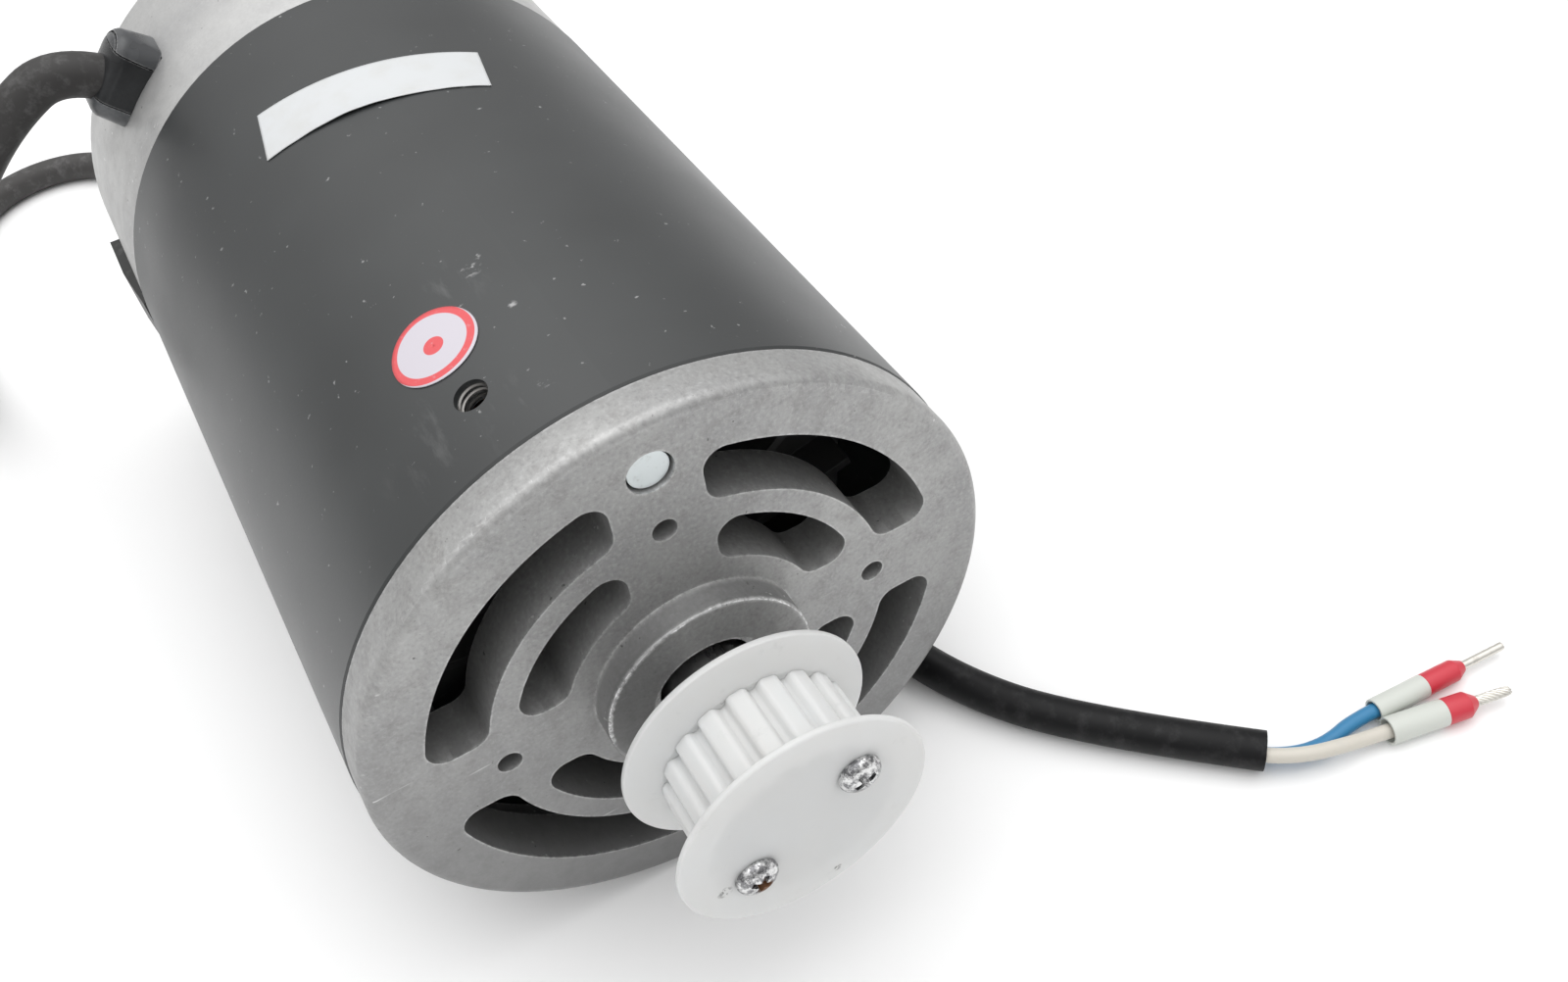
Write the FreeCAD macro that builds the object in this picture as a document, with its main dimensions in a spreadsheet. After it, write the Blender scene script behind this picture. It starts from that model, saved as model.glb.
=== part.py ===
import FreeCAD, Part
import math
import os
import re
import Sketcher
from FreeCAD import Placement, Rotation, Vector

# Brushed direct-current motor with permanent magnets and a toothed pulley.
# Frame: X along the shaft, out of the front face; Z up; origin at the centre of the front face.
# A clock angle turns from +Z towards -Y. All sizes are millimetres and degrees.

SIZES = [
    # casing and end bells
    ("casing_radius", 50), ("casing_bore", 46), ("casing_length", 120), ("rim_width", 7),
    ("bell_radius", 49.8), ("spigot_radius", 45.95), ("spigot_bore", 43), ("spigot_length", 6),
    ("plate_thickness", 9), ("rim_fillet", 1.6), ("earth_hole_x", -19.4), ("earth_hole_clock", 17.2),
    ("earth_hole_radius", 2.5), ("casing_chamfer", 0.5),
    ("boss_radius", 16.4), ("boss_height", 4.75), ("boss_bore", 9.1), ("boss_edge", 0.5),
    ("hub_radius", 19), ("hub_step", 1),
    ("outer_vent_inner", 32), ("outer_vent_outer", 41), ("inner_vent_inner", 20.4),
    ("inner_vent_outer", 28), ("half_spoke", 6.8), ("vent_corner", 3.1), ("spoke_count", 4),
    ("face_hole_circle", 60), ("face_hole_radius", 1.85), ("tie_circle_radius", 41.1),
    ("tie_bolt_radius", 3), ("tie_hole_radius", 3.4), ("tie_recess", 0.7),
    ("tie_head_radius", 5.7), ("tie_head_height", 4), ("washer_radius", 5.8),
    ("washer_thickness", 1), ("washer_play", 0.2),
    ("rear_length", 40.5), ("rear_plate", 6), ("rear_wall_bore", 45.6), ("rear_wall_step", 3),
    ("rear_fillet", 2.2), ("rear_vent_inner", 21), ("rear_vent_outer", 35), ("rear_vent_half", 3.6),
    ("rear_vent_count", 8), ("window_play", 0.1),
    # clearances that many pieces share, and the reach of a cutting tool past its piece
    ("pocket_gap", 0.02), ("shaft_fit", 0.02), ("overshoot", 1),
    # bearings
    ("front_bearing_x", -7.5), ("front_bearing_outer_radius", 15), ("front_bearing_bore", 5),
    ("front_bearing_width", 9), ("front_ball_radius", 2.38), ("front_ball_count", 8),
    ("rear_bearing_x", -162), ("rear_bearing_outer_radius", 11), ("rear_bearing_bore", 4),
    ("rear_bearing_width", 7), ("rear_ball_radius", 1.98), ("rear_ball_count", 8),
    ("rear_hub_radius", 14.5), ("rear_hub_lip", 0.5), ("race_gap", 0.05),
    ("shield_thickness", 0.4), ("shield_setback", 0.25), ("shield_play", 0.3),
    ("cage_margin", 0.45), ("cage_half_wall", 0.75), ("cage_play", 0.1),
    ("preload_room", 0.9), ("preload_thickness", 0.3), ("preload_play", 0.2), ("preload_width", 3),
    ("seal_inner", 7.15), ("seal_length", 3), ("seal_setback", 0.1),
    ("circlip_thickness", 1), ("circlip_inner", 7.6), ("circlip_outer", 9.5),
    ("circlip_half_angle", 128), ("circlip_ear_circle", 8.5), ("circlip_ear_radius", 1.05),
    ("circlip_clock", 8), ("circlip_setback", 1.6), ("circlip_play", 0.1), ("circlip_groove", 0.6),
    # rotor
    ("shaft_radius", 6), ("shaft_front", 28), ("shaft_rear", -165.2), ("shaft_flat", 4.2),
    ("shaft_chamfer", 0.4),
    ("core_radius", 36), ("core_front", -38), ("core_length", 70), ("slot_count", 12),
    ("slot_mouth", 1.3), ("slot_top", 33.4), ("slot_floor", 21), ("slot_half_top", 6),
    ("slot_half_floor", 3), ("insulator_thickness", 1), ("winding_radius", 34), ("winding_inner", 19),
    ("winding_slope", 3), ("front_winding", 11), ("rear_winding", 14), ("coil_half_floor", 2.6),
    ("coil_half_top", 5.3), ("coil_gap", 0.4), ("wedge_half", 1.2), ("wedge_setback", 0.6),
    ("magnet_inner", 37), ("magnet_outer", 45.9), ("magnet_front", -35), ("magnet_length", 76),
    ("magnet_half_angle", 60),
    ("commutator_radius", 14), ("commutator_front", -130), ("commutator_length", 26),
    ("riser_radius", 16.5), ("riser_length", 3), ("bar_inner", 10.5), ("bar_count", 24),
    ("bar_half_gap", 0.35), ("fan_radius", 37), ("fan_front", -14.6), ("fan_depth", 8.5),
    ("fan_hub_radius", 10.5), ("fan_disc", 1.5), ("blade_count", 14), ("blade_half", 0.75),
    ("blade_root", 13), ("blade_setback", 0.3), ("spacer_radius", 6.8), ("spacer_front", 9.5),
    # pulley
    ("pulley_collar", 9), ("flange_radius", 19), ("rear_flange_x", 13.8), ("rear_flange", 1),
    ("tooth_rear", 16.9), ("tooth_front", 30), ("front_flange", 1), ("flange_round", 0.4),
    ("tooth_count", 18), ("groove_clock", 4.7), ("tip_radius", 14.3), ("root_radius", 12.9),
    ("groove_half_floor", 0.62), ("groove_half_top", 1.32),
    ("screw_circle_radius", 10), ("screw_clock", -58), ("screw_radius", 1.45),
    ("screw_length", 12), ("screw_head_radius", 3.1), ("screw_head", 2), ("recess_half", 0.5),
    ("recess_arm", 1.75), ("recess_depth", 1.2), ("pilot_radius", 1.46), ("screw_play", 0.14),
    # brush gear
    ("brush_x", -145.5), ("brush_half_width", 4.5), ("brush_half_thickness", 3.2), ("brush_length", 17),
    ("guide_wall", 0.5), ("brush_play", 0.12), ("holder_half_width", 6.6), ("holder_half_thickness", 5.4),
    ("holder_inner", 17.5), ("holder_overlap", 0.5), ("flange_seat", 48.8), ("flange_outer", 51.3),
    ("flange_rear", -151.4), ("flange_slope", -139.5), ("flange_front", -127.7),
    ("flange_front_height", 50.1), ("flange_half_height", 5.6), ("cap_radius", 5), ("cap_inner", 43.6),
    ("cap_outer", 51), ("cap_slot_half", 0.7), ("cap_slot_depth", 1.6), ("spring_radius", 2.3),
    ("spring_wire", 0.3), ("spring_turns", 6),
    # strain relief
    ("relief_x", -147.5), ("relief_clock", 41.8), ("relief_half_length", 5.3),
    ("relief_half_width", 7.9), ("relief_wedge_half", 4.6), ("wedge_play", 0.05),
    ("relief_height", 57), ("relief_seat", 48), ("relief_inner", 43.2),
    ("relief_neck_half_length", 4.83), ("relief_neck_half_width", 7.1), ("neck_play", 0.03),
    ("relief_corner", 3.6), ("relief_round", 1.6), ("relief_foot", 1.8), ("passage_lead", 5),
    # labels
    ("label_thickness", 0.15), ("label_x", -94), ("label_clock", 2.6), ("label_half_length", 18.3),
    ("label_half_width", 6.1), ("label_turn", -11.1),
    ("sticker_x", -31.4), ("sticker_clock", 18), ("sticker_radius", 6.5),
    # cable, wires and ferrules
    ("cable_radius", 3.5), ("sleeve_radius", 4.1), ("sleeve_gap", 0.06), ("wire_radius", 1.3),
    ("lead_radius", 1.15), ("wire_gap", 0.1), ("collar_socket", 0.8), ("band_step", 0.1),
    ("band_taper", 2), ("pin_radius", 0.75),
    ("blue_width", 2.1), ("blue_collar", 10.5), ("blue_band", 8.5), ("blue_pin", 8.7),
    ("white_width", 2.45), ("white_collar", 10.5), ("white_band", 6.3), ("white_pin", 6.6),
]

# Share of a run that the arc at its end may take, and the slack allowed in a swept tube's volume.
ARC_SHARE = 0.45
VOLUME_TOLERANCE = 0.004
# Distance below which two places count as one.
TOUCHING = 0.01

# Control points of the cords.
CABLE_ROUTE = [
    (-147.5, -30.4, 32.6), (-147.5, -42.2, 45.3), (-147.5, -58, 38), (-149, -72, 22),
    (-155, -83, 1), (-167, -91, -21), (-187, -96, -38), (-213, -98.5, -46.4), (-239, -97.5, -46.4),
    (-260, -91, -46.4), (-276, -81.4, -46.4), (-281.4, -66, -46.4), (-276, -50.6, -46.4),
    (-260.5, -41, -46.4), (-243, -24, -46.4), (-232, -1, -46.4), (-215, 20, -46.4), (-190, 34, -46.4),
    (-159, 39.5, -46.4), (-122, 38.5, -46.4), (-84, 37, -46.4), (-52, 37.5, -46.4),
    (-26, 39.5, -46.4), (-3, 45.5, -46.4), (17, 59, -46.4), (37.8, 81.3, -46.4),
]
BLUE_ROUTE = [
    (37.72, 81.51, -47.8), (38.79, 82.66, -47.8), (41, 87.2, -47.9), (41.8, 92.4, -47.9),
    (40.98, 97.92, -47.9), (41.44, 103.4, -47.9),
]
WHITE_ROUTE = [
    (38.82, 80.49, -45.6), (39.89, 81.64, -45.6), (42.9, 86.5, -45.2), (44.5, 93.4, -46.1),
    (44.92, 97.6, -47.4), (45.93, 101.98, -47.4),
]
LEAD_ROUTES = [
    [(-146.5, -29, 31), (-145.5, -31, 24), (-146.5, -35.5, 15), (-147.5, -37, 9), (-147.5, -37, 5.42)],
    [(-149, -28.4, 30.4), (-150.5, -20, 26), (-150, -3, 25), (-149, 15, 26), (-148.5, 30, 20),
     (-147.5, 37, 10), (-147.5, 37, 5.42)],
]

doc = FreeCAD.newDocument("electric_motor")
sheet = doc.addObject("Spreadsheet::Sheet", "Dimensions")
for row, (alias, size) in enumerate(SIZES, start=1):
    sheet.set("A%d" % row, alias)
    sheet.set("B%d" % row, str(size))
    sheet.setAlias("B%d" % row, alias)
doc.recompute()

ALIASES = {alias for alias, size in SIZES}
FINISHED = []


# ---- expressions, sketches and features ----

def cell(text):
    """Point every alias in an expression at the sheet."""
    return re.sub(r"[a-z][a-z_]+", lambda m: "Dimensions." + m[0] if m[0] in ALIASES else m[0], text)


def number(text):
    """The present value of an expression in sheet aliases."""
    return float(sheet.evalExpression(cell(text)))


def origin_feature(body, role):
    return [item for item in body.Origin.OriginFeatures if item.Role == role][0]


def new_body(label):
    body = doc.addObject("PartDesign::Body", label)
    body.Label = label
    return body


def new_sketch(body, role, offset=None, clock=None):
    """A sketch on one of the body's planes, moved along its normal, turned about X or both."""
    sketch = body.newObject("Sketcher::SketchObject", body.Label + "_sketch")
    sketch.AttachmentSupport = [(origin_feature(body, role), "")]
    sketch.MapMode = "FlatFace"
    along = Vector(0, 0, number(offset)) if offset else Vector()
    shaft_axis = Vector(0, 0, 1) if role == "YZ_Plane" else Vector(1, 0, 0)
    turn = Rotation(shaft_axis, number(clock)) if clock else Rotation()
    sketch.AttachmentOffset = Placement(along, turn)
    if offset:
        sketch.setExpression("AttachmentOffset.Base.z", cell(offset))
    if clock:
        sketch.setExpression("AttachmentOffset.Rotation.Angle", cell(clock))
    return sketch


def bind(sketch, kind, where, text):
    """Add a dimension to a sketch and tie it to the sheet."""
    index = sketch.addConstraint(Sketcher.Constraint(kind, *where, number(text)))
    sketch.setExpression("Constraints[%d]" % index, cell(text))


def pin(sketch, geometry, point, across, up):
    """Place one end of a sketch element from the sketch's origin."""
    bind(sketch, "DistanceX", (-1, 1, geometry, point), across)
    bind(sketch, "DistanceY", (-1, 1, geometry, point), up)


def outline(sketch, points):
    """A closed outline of straight lines through the given points."""
    start = sketch.GeometryCount
    corners = [Vector(number(across), number(up), 0) for across, up in points]
    count = len(corners)
    for i in range(count):
        sketch.addGeometry(Part.LineSegment(corners[i], corners[(i + 1) % count]), False)
    for i in range(count):
        following = start + (i + 1) % count
        sketch.addConstraint(Sketcher.Constraint("Coincident", start + i, 2, following, 1))
    for i, (across, up) in enumerate(points):
        pin(sketch, start + i, 1, across, up)


def rectangle(sketch, left, right, low, high):
    outline(sketch, [(left, low), (right, low), (right, high), (left, high)])


def circle(sketch, across, up, radius):
    middle = Vector(number(across), number(up), 0)
    index = sketch.addGeometry(Part.Circle(middle, Vector(0, 0, 1), number(radius)), False)
    pin(sketch, index, 3, across, up)
    bind(sketch, "Radius", (index,), radius)


def arc_between(sketch, radius, start, end):
    """An arc about the sketch's origin, from one point to another, anticlockwise."""
    span = (math.atan2(start[1], start[0]), math.atan2(end[1], end[0]))
    curve = Part.ArcOfCircle(Part.Circle(Vector(), Vector(0, 0, 1), number(radius)), *span)
    index = sketch.addGeometry(curve, False)
    sketch.addConstraint(Sketcher.Constraint("Coincident", index, 3, -1, 1))
    bind(sketch, "Radius", (index,), radius)
    return index


def quadrant_vent(sketch, inner, outer, half_spoke):
    """The gap between two straight spokes and two circles, in the first quadrant."""
    spoke = number(half_spoke)
    far = math.sqrt(number(outer) ** 2 - spoke ** 2)
    near = math.sqrt(number(inner) ** 2 - spoke ** 2)
    big = arc_between(sketch, outer, (far, spoke), (spoke, far))
    small = arc_between(sketch, inner, (near, spoke), (spoke, near))
    side = sketch.addGeometry(Part.LineSegment(Vector(spoke, far, 0), Vector(spoke, near, 0)), False)
    base = sketch.addGeometry(Part.LineSegment(Vector(near, spoke, 0), Vector(far, spoke, 0)), False)
    for first, first_end, second, second_end in ((big, 2, side, 1), (side, 2, small, 2),
                                                 (small, 1, base, 1), (base, 2, big, 1)):
        joint = Sketcher.Constraint("Coincident", first, first_end, second, second_end)
        sketch.addConstraint(joint)
    sketch.addConstraint(Sketcher.Constraint("Vertical", side))
    sketch.addConstraint(Sketcher.Constraint("Horizontal", base))
    bind(sketch, "DistanceX", (-1, 1, side, 1), half_spoke)
    bind(sketch, "DistanceY", (-1, 1, base, 1), half_spoke)


def sector(sketch, inner, outer, half_angle):
    """A ring sector about the sketch's vertical axis."""
    half = math.radians(number(half_angle))
    ends = [(math.sin(half), math.cos(half)), (-math.sin(half), math.cos(half))]
    arcs = [arc_between(sketch, radius, ends[0], ends[1]) for radius in (inner, outer)]
    for end, sign in ((1, ""), (2, "-")):
        radii = [number(radius) for radius in (inner, outer)]
        direction = ends[end - 1]
        tips = [Vector(direction[0] * radius, direction[1] * radius, 0) for radius in radii]
        line = sketch.addGeometry(Part.LineSegment(*tips), False)
        sketch.addConstraint(Sketcher.Constraint("Coincident", line, 1, arcs[0], end))
        sketch.addConstraint(Sketcher.Constraint("Coincident", line, 2, arcs[1], end))
        for tip, radius in ((1, inner), (2, outer)):
            across = "%s%s * sin(%s)" % (sign, radius, half_angle)
            bind(sketch, "DistanceX", (-1, 1, line, tip), across)


def revolve(body, points, kind="PartDesign::Revolution"):
    """Turn an outline of (x, radius) points about the shaft's axis."""
    sketch = new_sketch(body, "XZ_Plane")
    outline(sketch, points)
    feature = body.newObject(kind, body.Label + "_turned")
    feature.Profile = sketch
    feature.ReferenceAxis = (sketch, ["H_Axis"])
    feature.Angle = 360
    return feature


def race_groove(body, x, radius, ball):
    """Turn the ball groove into a bearing ring."""
    sketch = new_sketch(body, "XZ_Plane")
    circle(sketch, x, radius, ball)
    groove = body.newObject("PartDesign::Groove", body.Label + "_groove")
    groove.Profile = sketch
    groove.ReferenceAxis = (sketch, ["H_Axis"])
    groove.Angle = 360


def pad(body, sketch, length, midplane=False, reverse=False):
    feature = body.newObject("PartDesign::Pad", body.Label + "_pad")
    feature.Profile = sketch
    feature.Length = number(length)
    feature.setExpression("Length", cell(length))
    feature.Midplane = midplane
    feature.Reversed = reverse
    return feature


def pocket(body, sketch, length, midplane=False, reverse=False):
    """Cut a sketch into the body, and stop if it takes nothing away."""
    doc.recompute()
    before = body.Shape.Volume
    feature = body.newObject("PartDesign::Pocket", body.Label + "_pocket")
    feature.Profile = sketch
    feature.Length = number(length)
    feature.setExpression("Length", cell(length))
    feature.Midplane = midplane
    feature.Reversed = reverse
    doc.recompute()
    if not body.Shape.Volume < before:
        raise ValueError(body.Label + ": a pocket cut nothing")
    return feature


def around(body, feature, count, angle="360"):
    """Repeat a feature evenly about the shaft's axis."""
    pattern = body.newObject("PartDesign::PolarPattern", body.Label + "_pattern")
    pattern.Originals = [feature]
    pattern.Axis = (origin_feature(body, "X_Axis"), [""])
    pattern.Angle = number(angle)
    pattern.Occurrences = int(number(count))
    pattern.setExpression("Occurrences", cell(count))
    body.Tip = pattern
    return pattern


def soften(body, edges, radius, kind="PartDesign::Fillet", field="Radius"):
    """Round or bevel the edges that the test picks."""
    doc.recompute()
    base = body.Tip
    names = ["Edge%d" % (i + 1) for i, edge in enumerate(base.Shape.Edges) if edges(edge)]
    if not names:
        raise ValueError(body.Label + ": no edge to soften")
    feature = body.newObject(kind, body.Label + "_edges")
    feature.Base = (base, names)
    setattr(feature, field, number(radius))
    feature.setExpression(field, cell(radius))
    body.Tip = feature


def circle_edge(x, radius):
    """A test for the full circle of one radius at one place along the axis."""
    def test(edge):
        curve = edge.Curve
        if not isinstance(curve, Part.Circle):
            return False
        centre = curve.Center
        return (abs(curve.Radius - number(radius)) < TOUCHING
                and abs(centre.x - number(x)) < TOUCHING
                and math.hypot(centre.y, centre.z) < TOUCHING)
    return test


def done(item, label=None):
    """Keep an object as a finished sub-part."""
    if label:
        item.Label = label
    FINISHED.append(item)
    return item


def turned(label, points):
    body = new_body(label)
    revolve(body, points)
    return done(body)


def tube(label, rear, front, inner, outer):
    return turned(label, [(rear, inner), (front, inner), (front, outer), (rear, outer)])


# ---- solid primitives ----

def clock_point(x, radius, clock):
    angle = math.radians(clock)
    return Vector(x, -radius * math.sin(angle), radius * math.cos(angle))


def place(item, x, y="0", z="0", rotation=None):
    """Put a primitive at a point that follows the sheet."""
    item.Placement = Placement(Vector(number(x), number(y), number(z)), rotation or Rotation())
    for axis, text in (("x", x), ("y", y), ("z", z)):
        item.setExpression("Placement.Base." + axis, cell(text))
    return item


def cylinder(name, radius, length):
    item = doc.addObject("Part::Cylinder", name)
    item.setExpression("Radius", cell(radius))
    item.setExpression("Height", cell(length))
    return item


def box(name, length, width, height):
    item = doc.addObject("Part::Box", name)
    for field, text in (("Length", length), ("Width", width), ("Height", height)):
        item.setExpression(field, cell(text))
    return item


def cut(name, base, tool):
    item = doc.addObject("Part::Cut", name)
    item.Base = base
    item.Tool = tool
    return item


def together(kind, name, items):
    item = doc.addObject(kind, name)
    if kind == "Part::Compound":
        item.Links = items
    else:
        item.Shapes = items
    return item


TO_X = Rotation(Vector(0, 1, 0), 90)


# ---- casing and end bells ----

def motor_casing():
    """Steel tube, with a tapped earth hole near its front edge."""
    body = new_body("motor_casing")
    rear, front = "-rim_width - casing_length", "-rim_width"
    revolve(body, [(rear, "casing_bore"), (front, "casing_bore"), (front, "casing_radius"),
                   (rear, "casing_radius")])
    hole = new_sketch(body, "XY_Plane", clock="earth_hole_clock")
    circle(hole, "earth_hole_x", "0", "earth_hole_radius")
    pocket(body, hole, "casing_radius + overshoot", reverse=True)
    soften(body, circle_edge(front, "casing_radius"), "casing_chamfer", "PartDesign::Chamfer", "Size")
    done(body)


def front_end_bell():
    """Cast end plate with curved vents between four spokes, a boss and a bearing pocket."""
    body = new_body("front_end_bell")
    pocket_floor = "front_bearing_x + front_bearing_width / 2"
    hub_rear = "front_bearing_x - front_bearing_width / 2 - hub_step"
    housing = "front_bearing_outer_radius + pocket_gap"
    clip_front = "boss_height - circlip_setback"
    clip_rear = clip_front + " - circlip_play - circlip_thickness"
    clip_radius = "boss_bore + circlip_groove"
    revolve(body, [
        ("boss_height", "boss_bore"), ("boss_height", "boss_radius"), ("0", "boss_radius"),
        ("0", "bell_radius"), ("-rim_width", "bell_radius"), ("-rim_width", "spigot_radius"),
        ("-rim_width - spigot_length", "spigot_radius"), ("-rim_width - spigot_length", "spigot_bore"),
        ("-plate_thickness", "spigot_bore"), ("-plate_thickness", "hub_radius"),
        (hub_rear, "hub_radius"), (hub_rear, housing), (pocket_floor, housing),
        (pocket_floor, "boss_bore"), (clip_rear, "boss_bore"), (clip_rear, clip_radius),
        (clip_front, clip_radius), (clip_front, "boss_bore")])
    doc.recompute()
    for vent_ring in ("outer_vent", "inner_vent"):
        inner, outer = vent_ring + "_inner", vent_ring + "_outer"
        vent = new_sketch(body, "YZ_Plane")
        quadrant_vent(vent, inner, outer, "half_spoke")
        around(body, pocket(body, vent, "plate_thickness"), "spoke_count")
        soften(body, plate_corner_edge(inner), "vent_corner")
        soften(body, plate_corner_edge(outer), "vent_corner")
    holes = new_sketch(body, "YZ_Plane")
    circle(holes, "0", "face_hole_circle / 2", "face_hole_radius")
    around(body, pocket(body, holes, "plate_thickness"), "spoke_count")
    tie = new_sketch(body, "YZ_Plane")
    circle(tie, "0", "tie_circle_radius", "tie_hole_radius")
    around(body, pocket(body, tie, "plate_thickness + spigot_length"), "2")
    soften(body, circle_edge("0", "bell_radius"), "rim_fillet")
    soften(body, circle_edge("boss_height", "boss_radius"), "boss_edge")
    done(body)


def plate_corner_edge(radius):
    """A test for the straight corners that run through the front plate at one radius."""
    def test(edge):
        middle = edge.BoundBox.Center
        return (isinstance(edge.Curve, Part.Line)
                and abs(edge.BoundBox.XLength - number("plate_thickness")) < TOUCHING
                and abs(math.hypot(middle.y, middle.z) - number(radius)) < TOUCHING)
    return test


def rear_end_bell():
    """Cast rear cover with brush windows, a cable hole, air vents and the rear bearing's pocket."""
    body = new_body("rear_end_bell")
    front = "-rim_width - casing_length"
    rear = front + " - rear_length"
    inner_face = rear + " + rear_plate"
    pocket_floor = "rear_bearing_x - rear_bearing_width / 2 - preload_room"
    housing = "rear_bearing_outer_radius + pocket_gap"
    hub_front = "rear_bearing_x + rear_bearing_width / 2 + rear_hub_lip"
    revolve(body, [
        (rear, "0"), (rear, "bell_radius"), (front, "bell_radius"), (front, "spigot_radius"),
        (front + " + spigot_length", "spigot_radius"), (front + " + spigot_length", "spigot_bore"),
        (front, "spigot_bore"), (front + " - rear_wall_step", "rear_wall_bore"),
        (inner_face, "rear_wall_bore"),
        (inner_face, "rear_hub_radius"), (hub_front, "rear_hub_radius"), (hub_front, housing),
        (pocket_floor, housing), (pocket_floor, "0")])
    doc.recompute()
    vents = new_sketch(body, "YZ_Plane", offset=inner_face)
    rectangle(vents, "-rear_vent_half", "rear_vent_half", "rear_vent_inner", "rear_vent_outer")
    around(body, pocket(body, vents, "rear_plate"), "rear_vent_count")
    tie = new_sketch(body, "YZ_Plane", offset=front + " + spigot_length")
    circle(tie, "0", "tie_circle_radius", "tie_hole_radius")
    around(body, pocket(body, tie, "spigot_length + rear_length"), "2")
    seats = new_sketch(body, "XY_Plane")
    rim = "casing_radius + overshoot"
    for low, high in (("-(" + rim + ")", "-flange_seat"), ("flange_seat", rim)):
        rectangle(seats, "flange_rear - window_play", "flange_front + window_play", low, high)
    pocket(body, seats, "2 * (flange_half_height + window_play)", midplane=True)
    windows = new_sketch(body, "XZ_Plane")
    width, height = "holder_half_width + window_play", "holder_half_thickness + window_play"
    rectangle(windows, "brush_x - (" + width + ")", "brush_x + " + width, "-(" + height + ")", height)
    pocket(body, windows, "3 * casing_radius", midplane=True)
    cable = new_sketch(body, "XY_Plane", clock="relief_clock")
    length, half = "relief_neck_half_length", "relief_neck_half_width"
    rectangle(cable, "relief_x - " + length, "relief_x + " + length, "-" + half, half)
    pocket(body, cable, "casing_radius + overshoot", reverse=True)
    soften(body, circle_edge(rear, "bell_radius"), "rear_fillet")
    done(body)


# ---- fixed inner pieces ----

def magnet(label, clock):
    """Ferrite arc, glued inside the casing beside the armature."""
    body = new_body(label)
    face = new_sketch(body, "YZ_Plane", offset="magnet_front - magnet_length")
    sector(face, "magnet_inner", "magnet_outer", "magnet_half_angle")
    pad(body, face, "magnet_length")
    body.Placement = Placement(Vector(), Rotation(Vector(1, 0, 0), clock))
    done(body)


def tie_bolts():
    """Two long bolts with hexagon heads and washers behind the rear cover."""
    rear = "-rim_width - casing_length - rear_length"
    seat = rear + " - washer_thickness"
    length = "casing_length + rim_width + rear_length + washer_thickness - tie_recess"
    bolts, washers = [], []
    for side in ("tie_circle_radius", "-tie_circle_radius"):
        shank = place(cylinder("tie_shank", "tie_bolt_radius", length), seat, "0", side, TO_X)
        head = doc.addObject("Part::Prism", "tie_head")
        head.Polygon = 6
        head.setExpression("Circumradius", cell("tie_head_radius"))
        head.setExpression("Height", cell("tie_head_height"))
        place(head, seat + " - tie_head_height", "0", side, TO_X)
        bolts.append(together("Part::MultiFuse", "tie_bolt", [shank, head]))
        disc = cylinder("washer_disc", "washer_radius", "washer_thickness")
        hole = cylinder("washer_hole", "tie_bolt_radius + washer_play", "washer_thickness")
        for item in (disc, hole):
            place(item, seat, "0", side, TO_X)
        washers.append(cut("tie_washer", disc, hole))
    done(together("Part::Compound", "tie_bolts", bolts), "tie_bolts")
    done(together("Part::Compound", "tie_bolt_washers", washers), "tie_bolt_washers")


def ball_set(name, x, pitch, radius, count):
    """Spheres spaced evenly about the shaft."""
    balls = []
    for i in range(count):
        ball = doc.addObject("Part::Sphere", name)
        ball.setExpression("Radius", cell(radius))
        ball.Placement = Placement(clock_point(number(x), number(pitch), 360 * i / count), Rotation())
        balls.append(ball)
    return together("Part::Compound", name + "_set", balls)


def ball_bearing(end):
    """Shielded deep-groove bearing: rings, balls, cage and shields."""
    x, ball = end + "_bearing_x", end + "_ball_radius"
    bore, outside = end + "_bearing_bore", end + "_bearing_outer_radius"
    half = end + "_bearing_width / 2"
    pitch = "(%s + %s) / 2" % (bore, outside)
    inner_shoulder, outer_shoulder = "%s - %s / 2" % (pitch, ball), "%s + %s / 2" % (pitch, ball)
    rear, front = "%s - %s" % (x, half), "%s + %s" % (x, half)
    rings = ((end + "_bearing_inner", bore, inner_shoulder),
             (end + "_bearing_outer", outer_shoulder, outside))
    for label, inside, outside_radius in rings:
        body = new_body(label)
        revolve(body, [(rear, inside), (front, inside), (front, outside_radius), (rear, outside_radius)])
        race_groove(body, x, pitch, ball + " + race_gap")
        done(body)
    shields = []
    for face in (rear + " + shield_setback", front + " - shield_setback - shield_thickness"):
        plate = cylinder("shield_plate", outer_shoulder, "shield_thickness")
        hole = cylinder("shield_hole", inner_shoulder + " + shield_play", "shield_thickness")
        for item in (plate, hole):
            place(item, face, rotation=TO_X)
        shields.append(cut("shield", plate, hole))
    done(together("Part::Compound", end + "_bearing_shields", shields), end + "_bearing_shields")
    count = int(number(end + "_ball_count"))
    done(ball_set(end + "_ball", x, pitch, ball, count), end + "_bearing_balls")
    cage_half = "(%s + cage_margin)" % ball
    ring = cylinder("cage_ring", pitch + " + cage_half_wall", "2 * " + cage_half)
    bore_tool = cylinder("cage_bore", pitch + " - cage_half_wall", "2 * " + cage_half)
    for item in (ring, bore_tool):
        place(item, x + " - " + cage_half, rotation=TO_X)
    pockets = ball_set(end + "_cage_pocket", x, pitch, ball + " + cage_play", count)
    done(cut(end + "_cage", cut("cage_tube", ring, bore_tool), pockets), end + "_bearing_cage")


def bearing_preload_ring():
    """Dished spring ring behind the rear bearing's outer ring."""
    seat = "rear_bearing_x - rear_bearing_width / 2"
    floor = seat + " - preload_room"
    outer = "rear_bearing_outer_radius - preload_play"
    inner = "rear_bearing_outer_radius - preload_width"
    turned("bearing_preload_ring", [(floor, inner), (floor + " + preload_thickness", inner),
                                    (seat, outer), (seat + " - preload_thickness", outer)])


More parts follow.
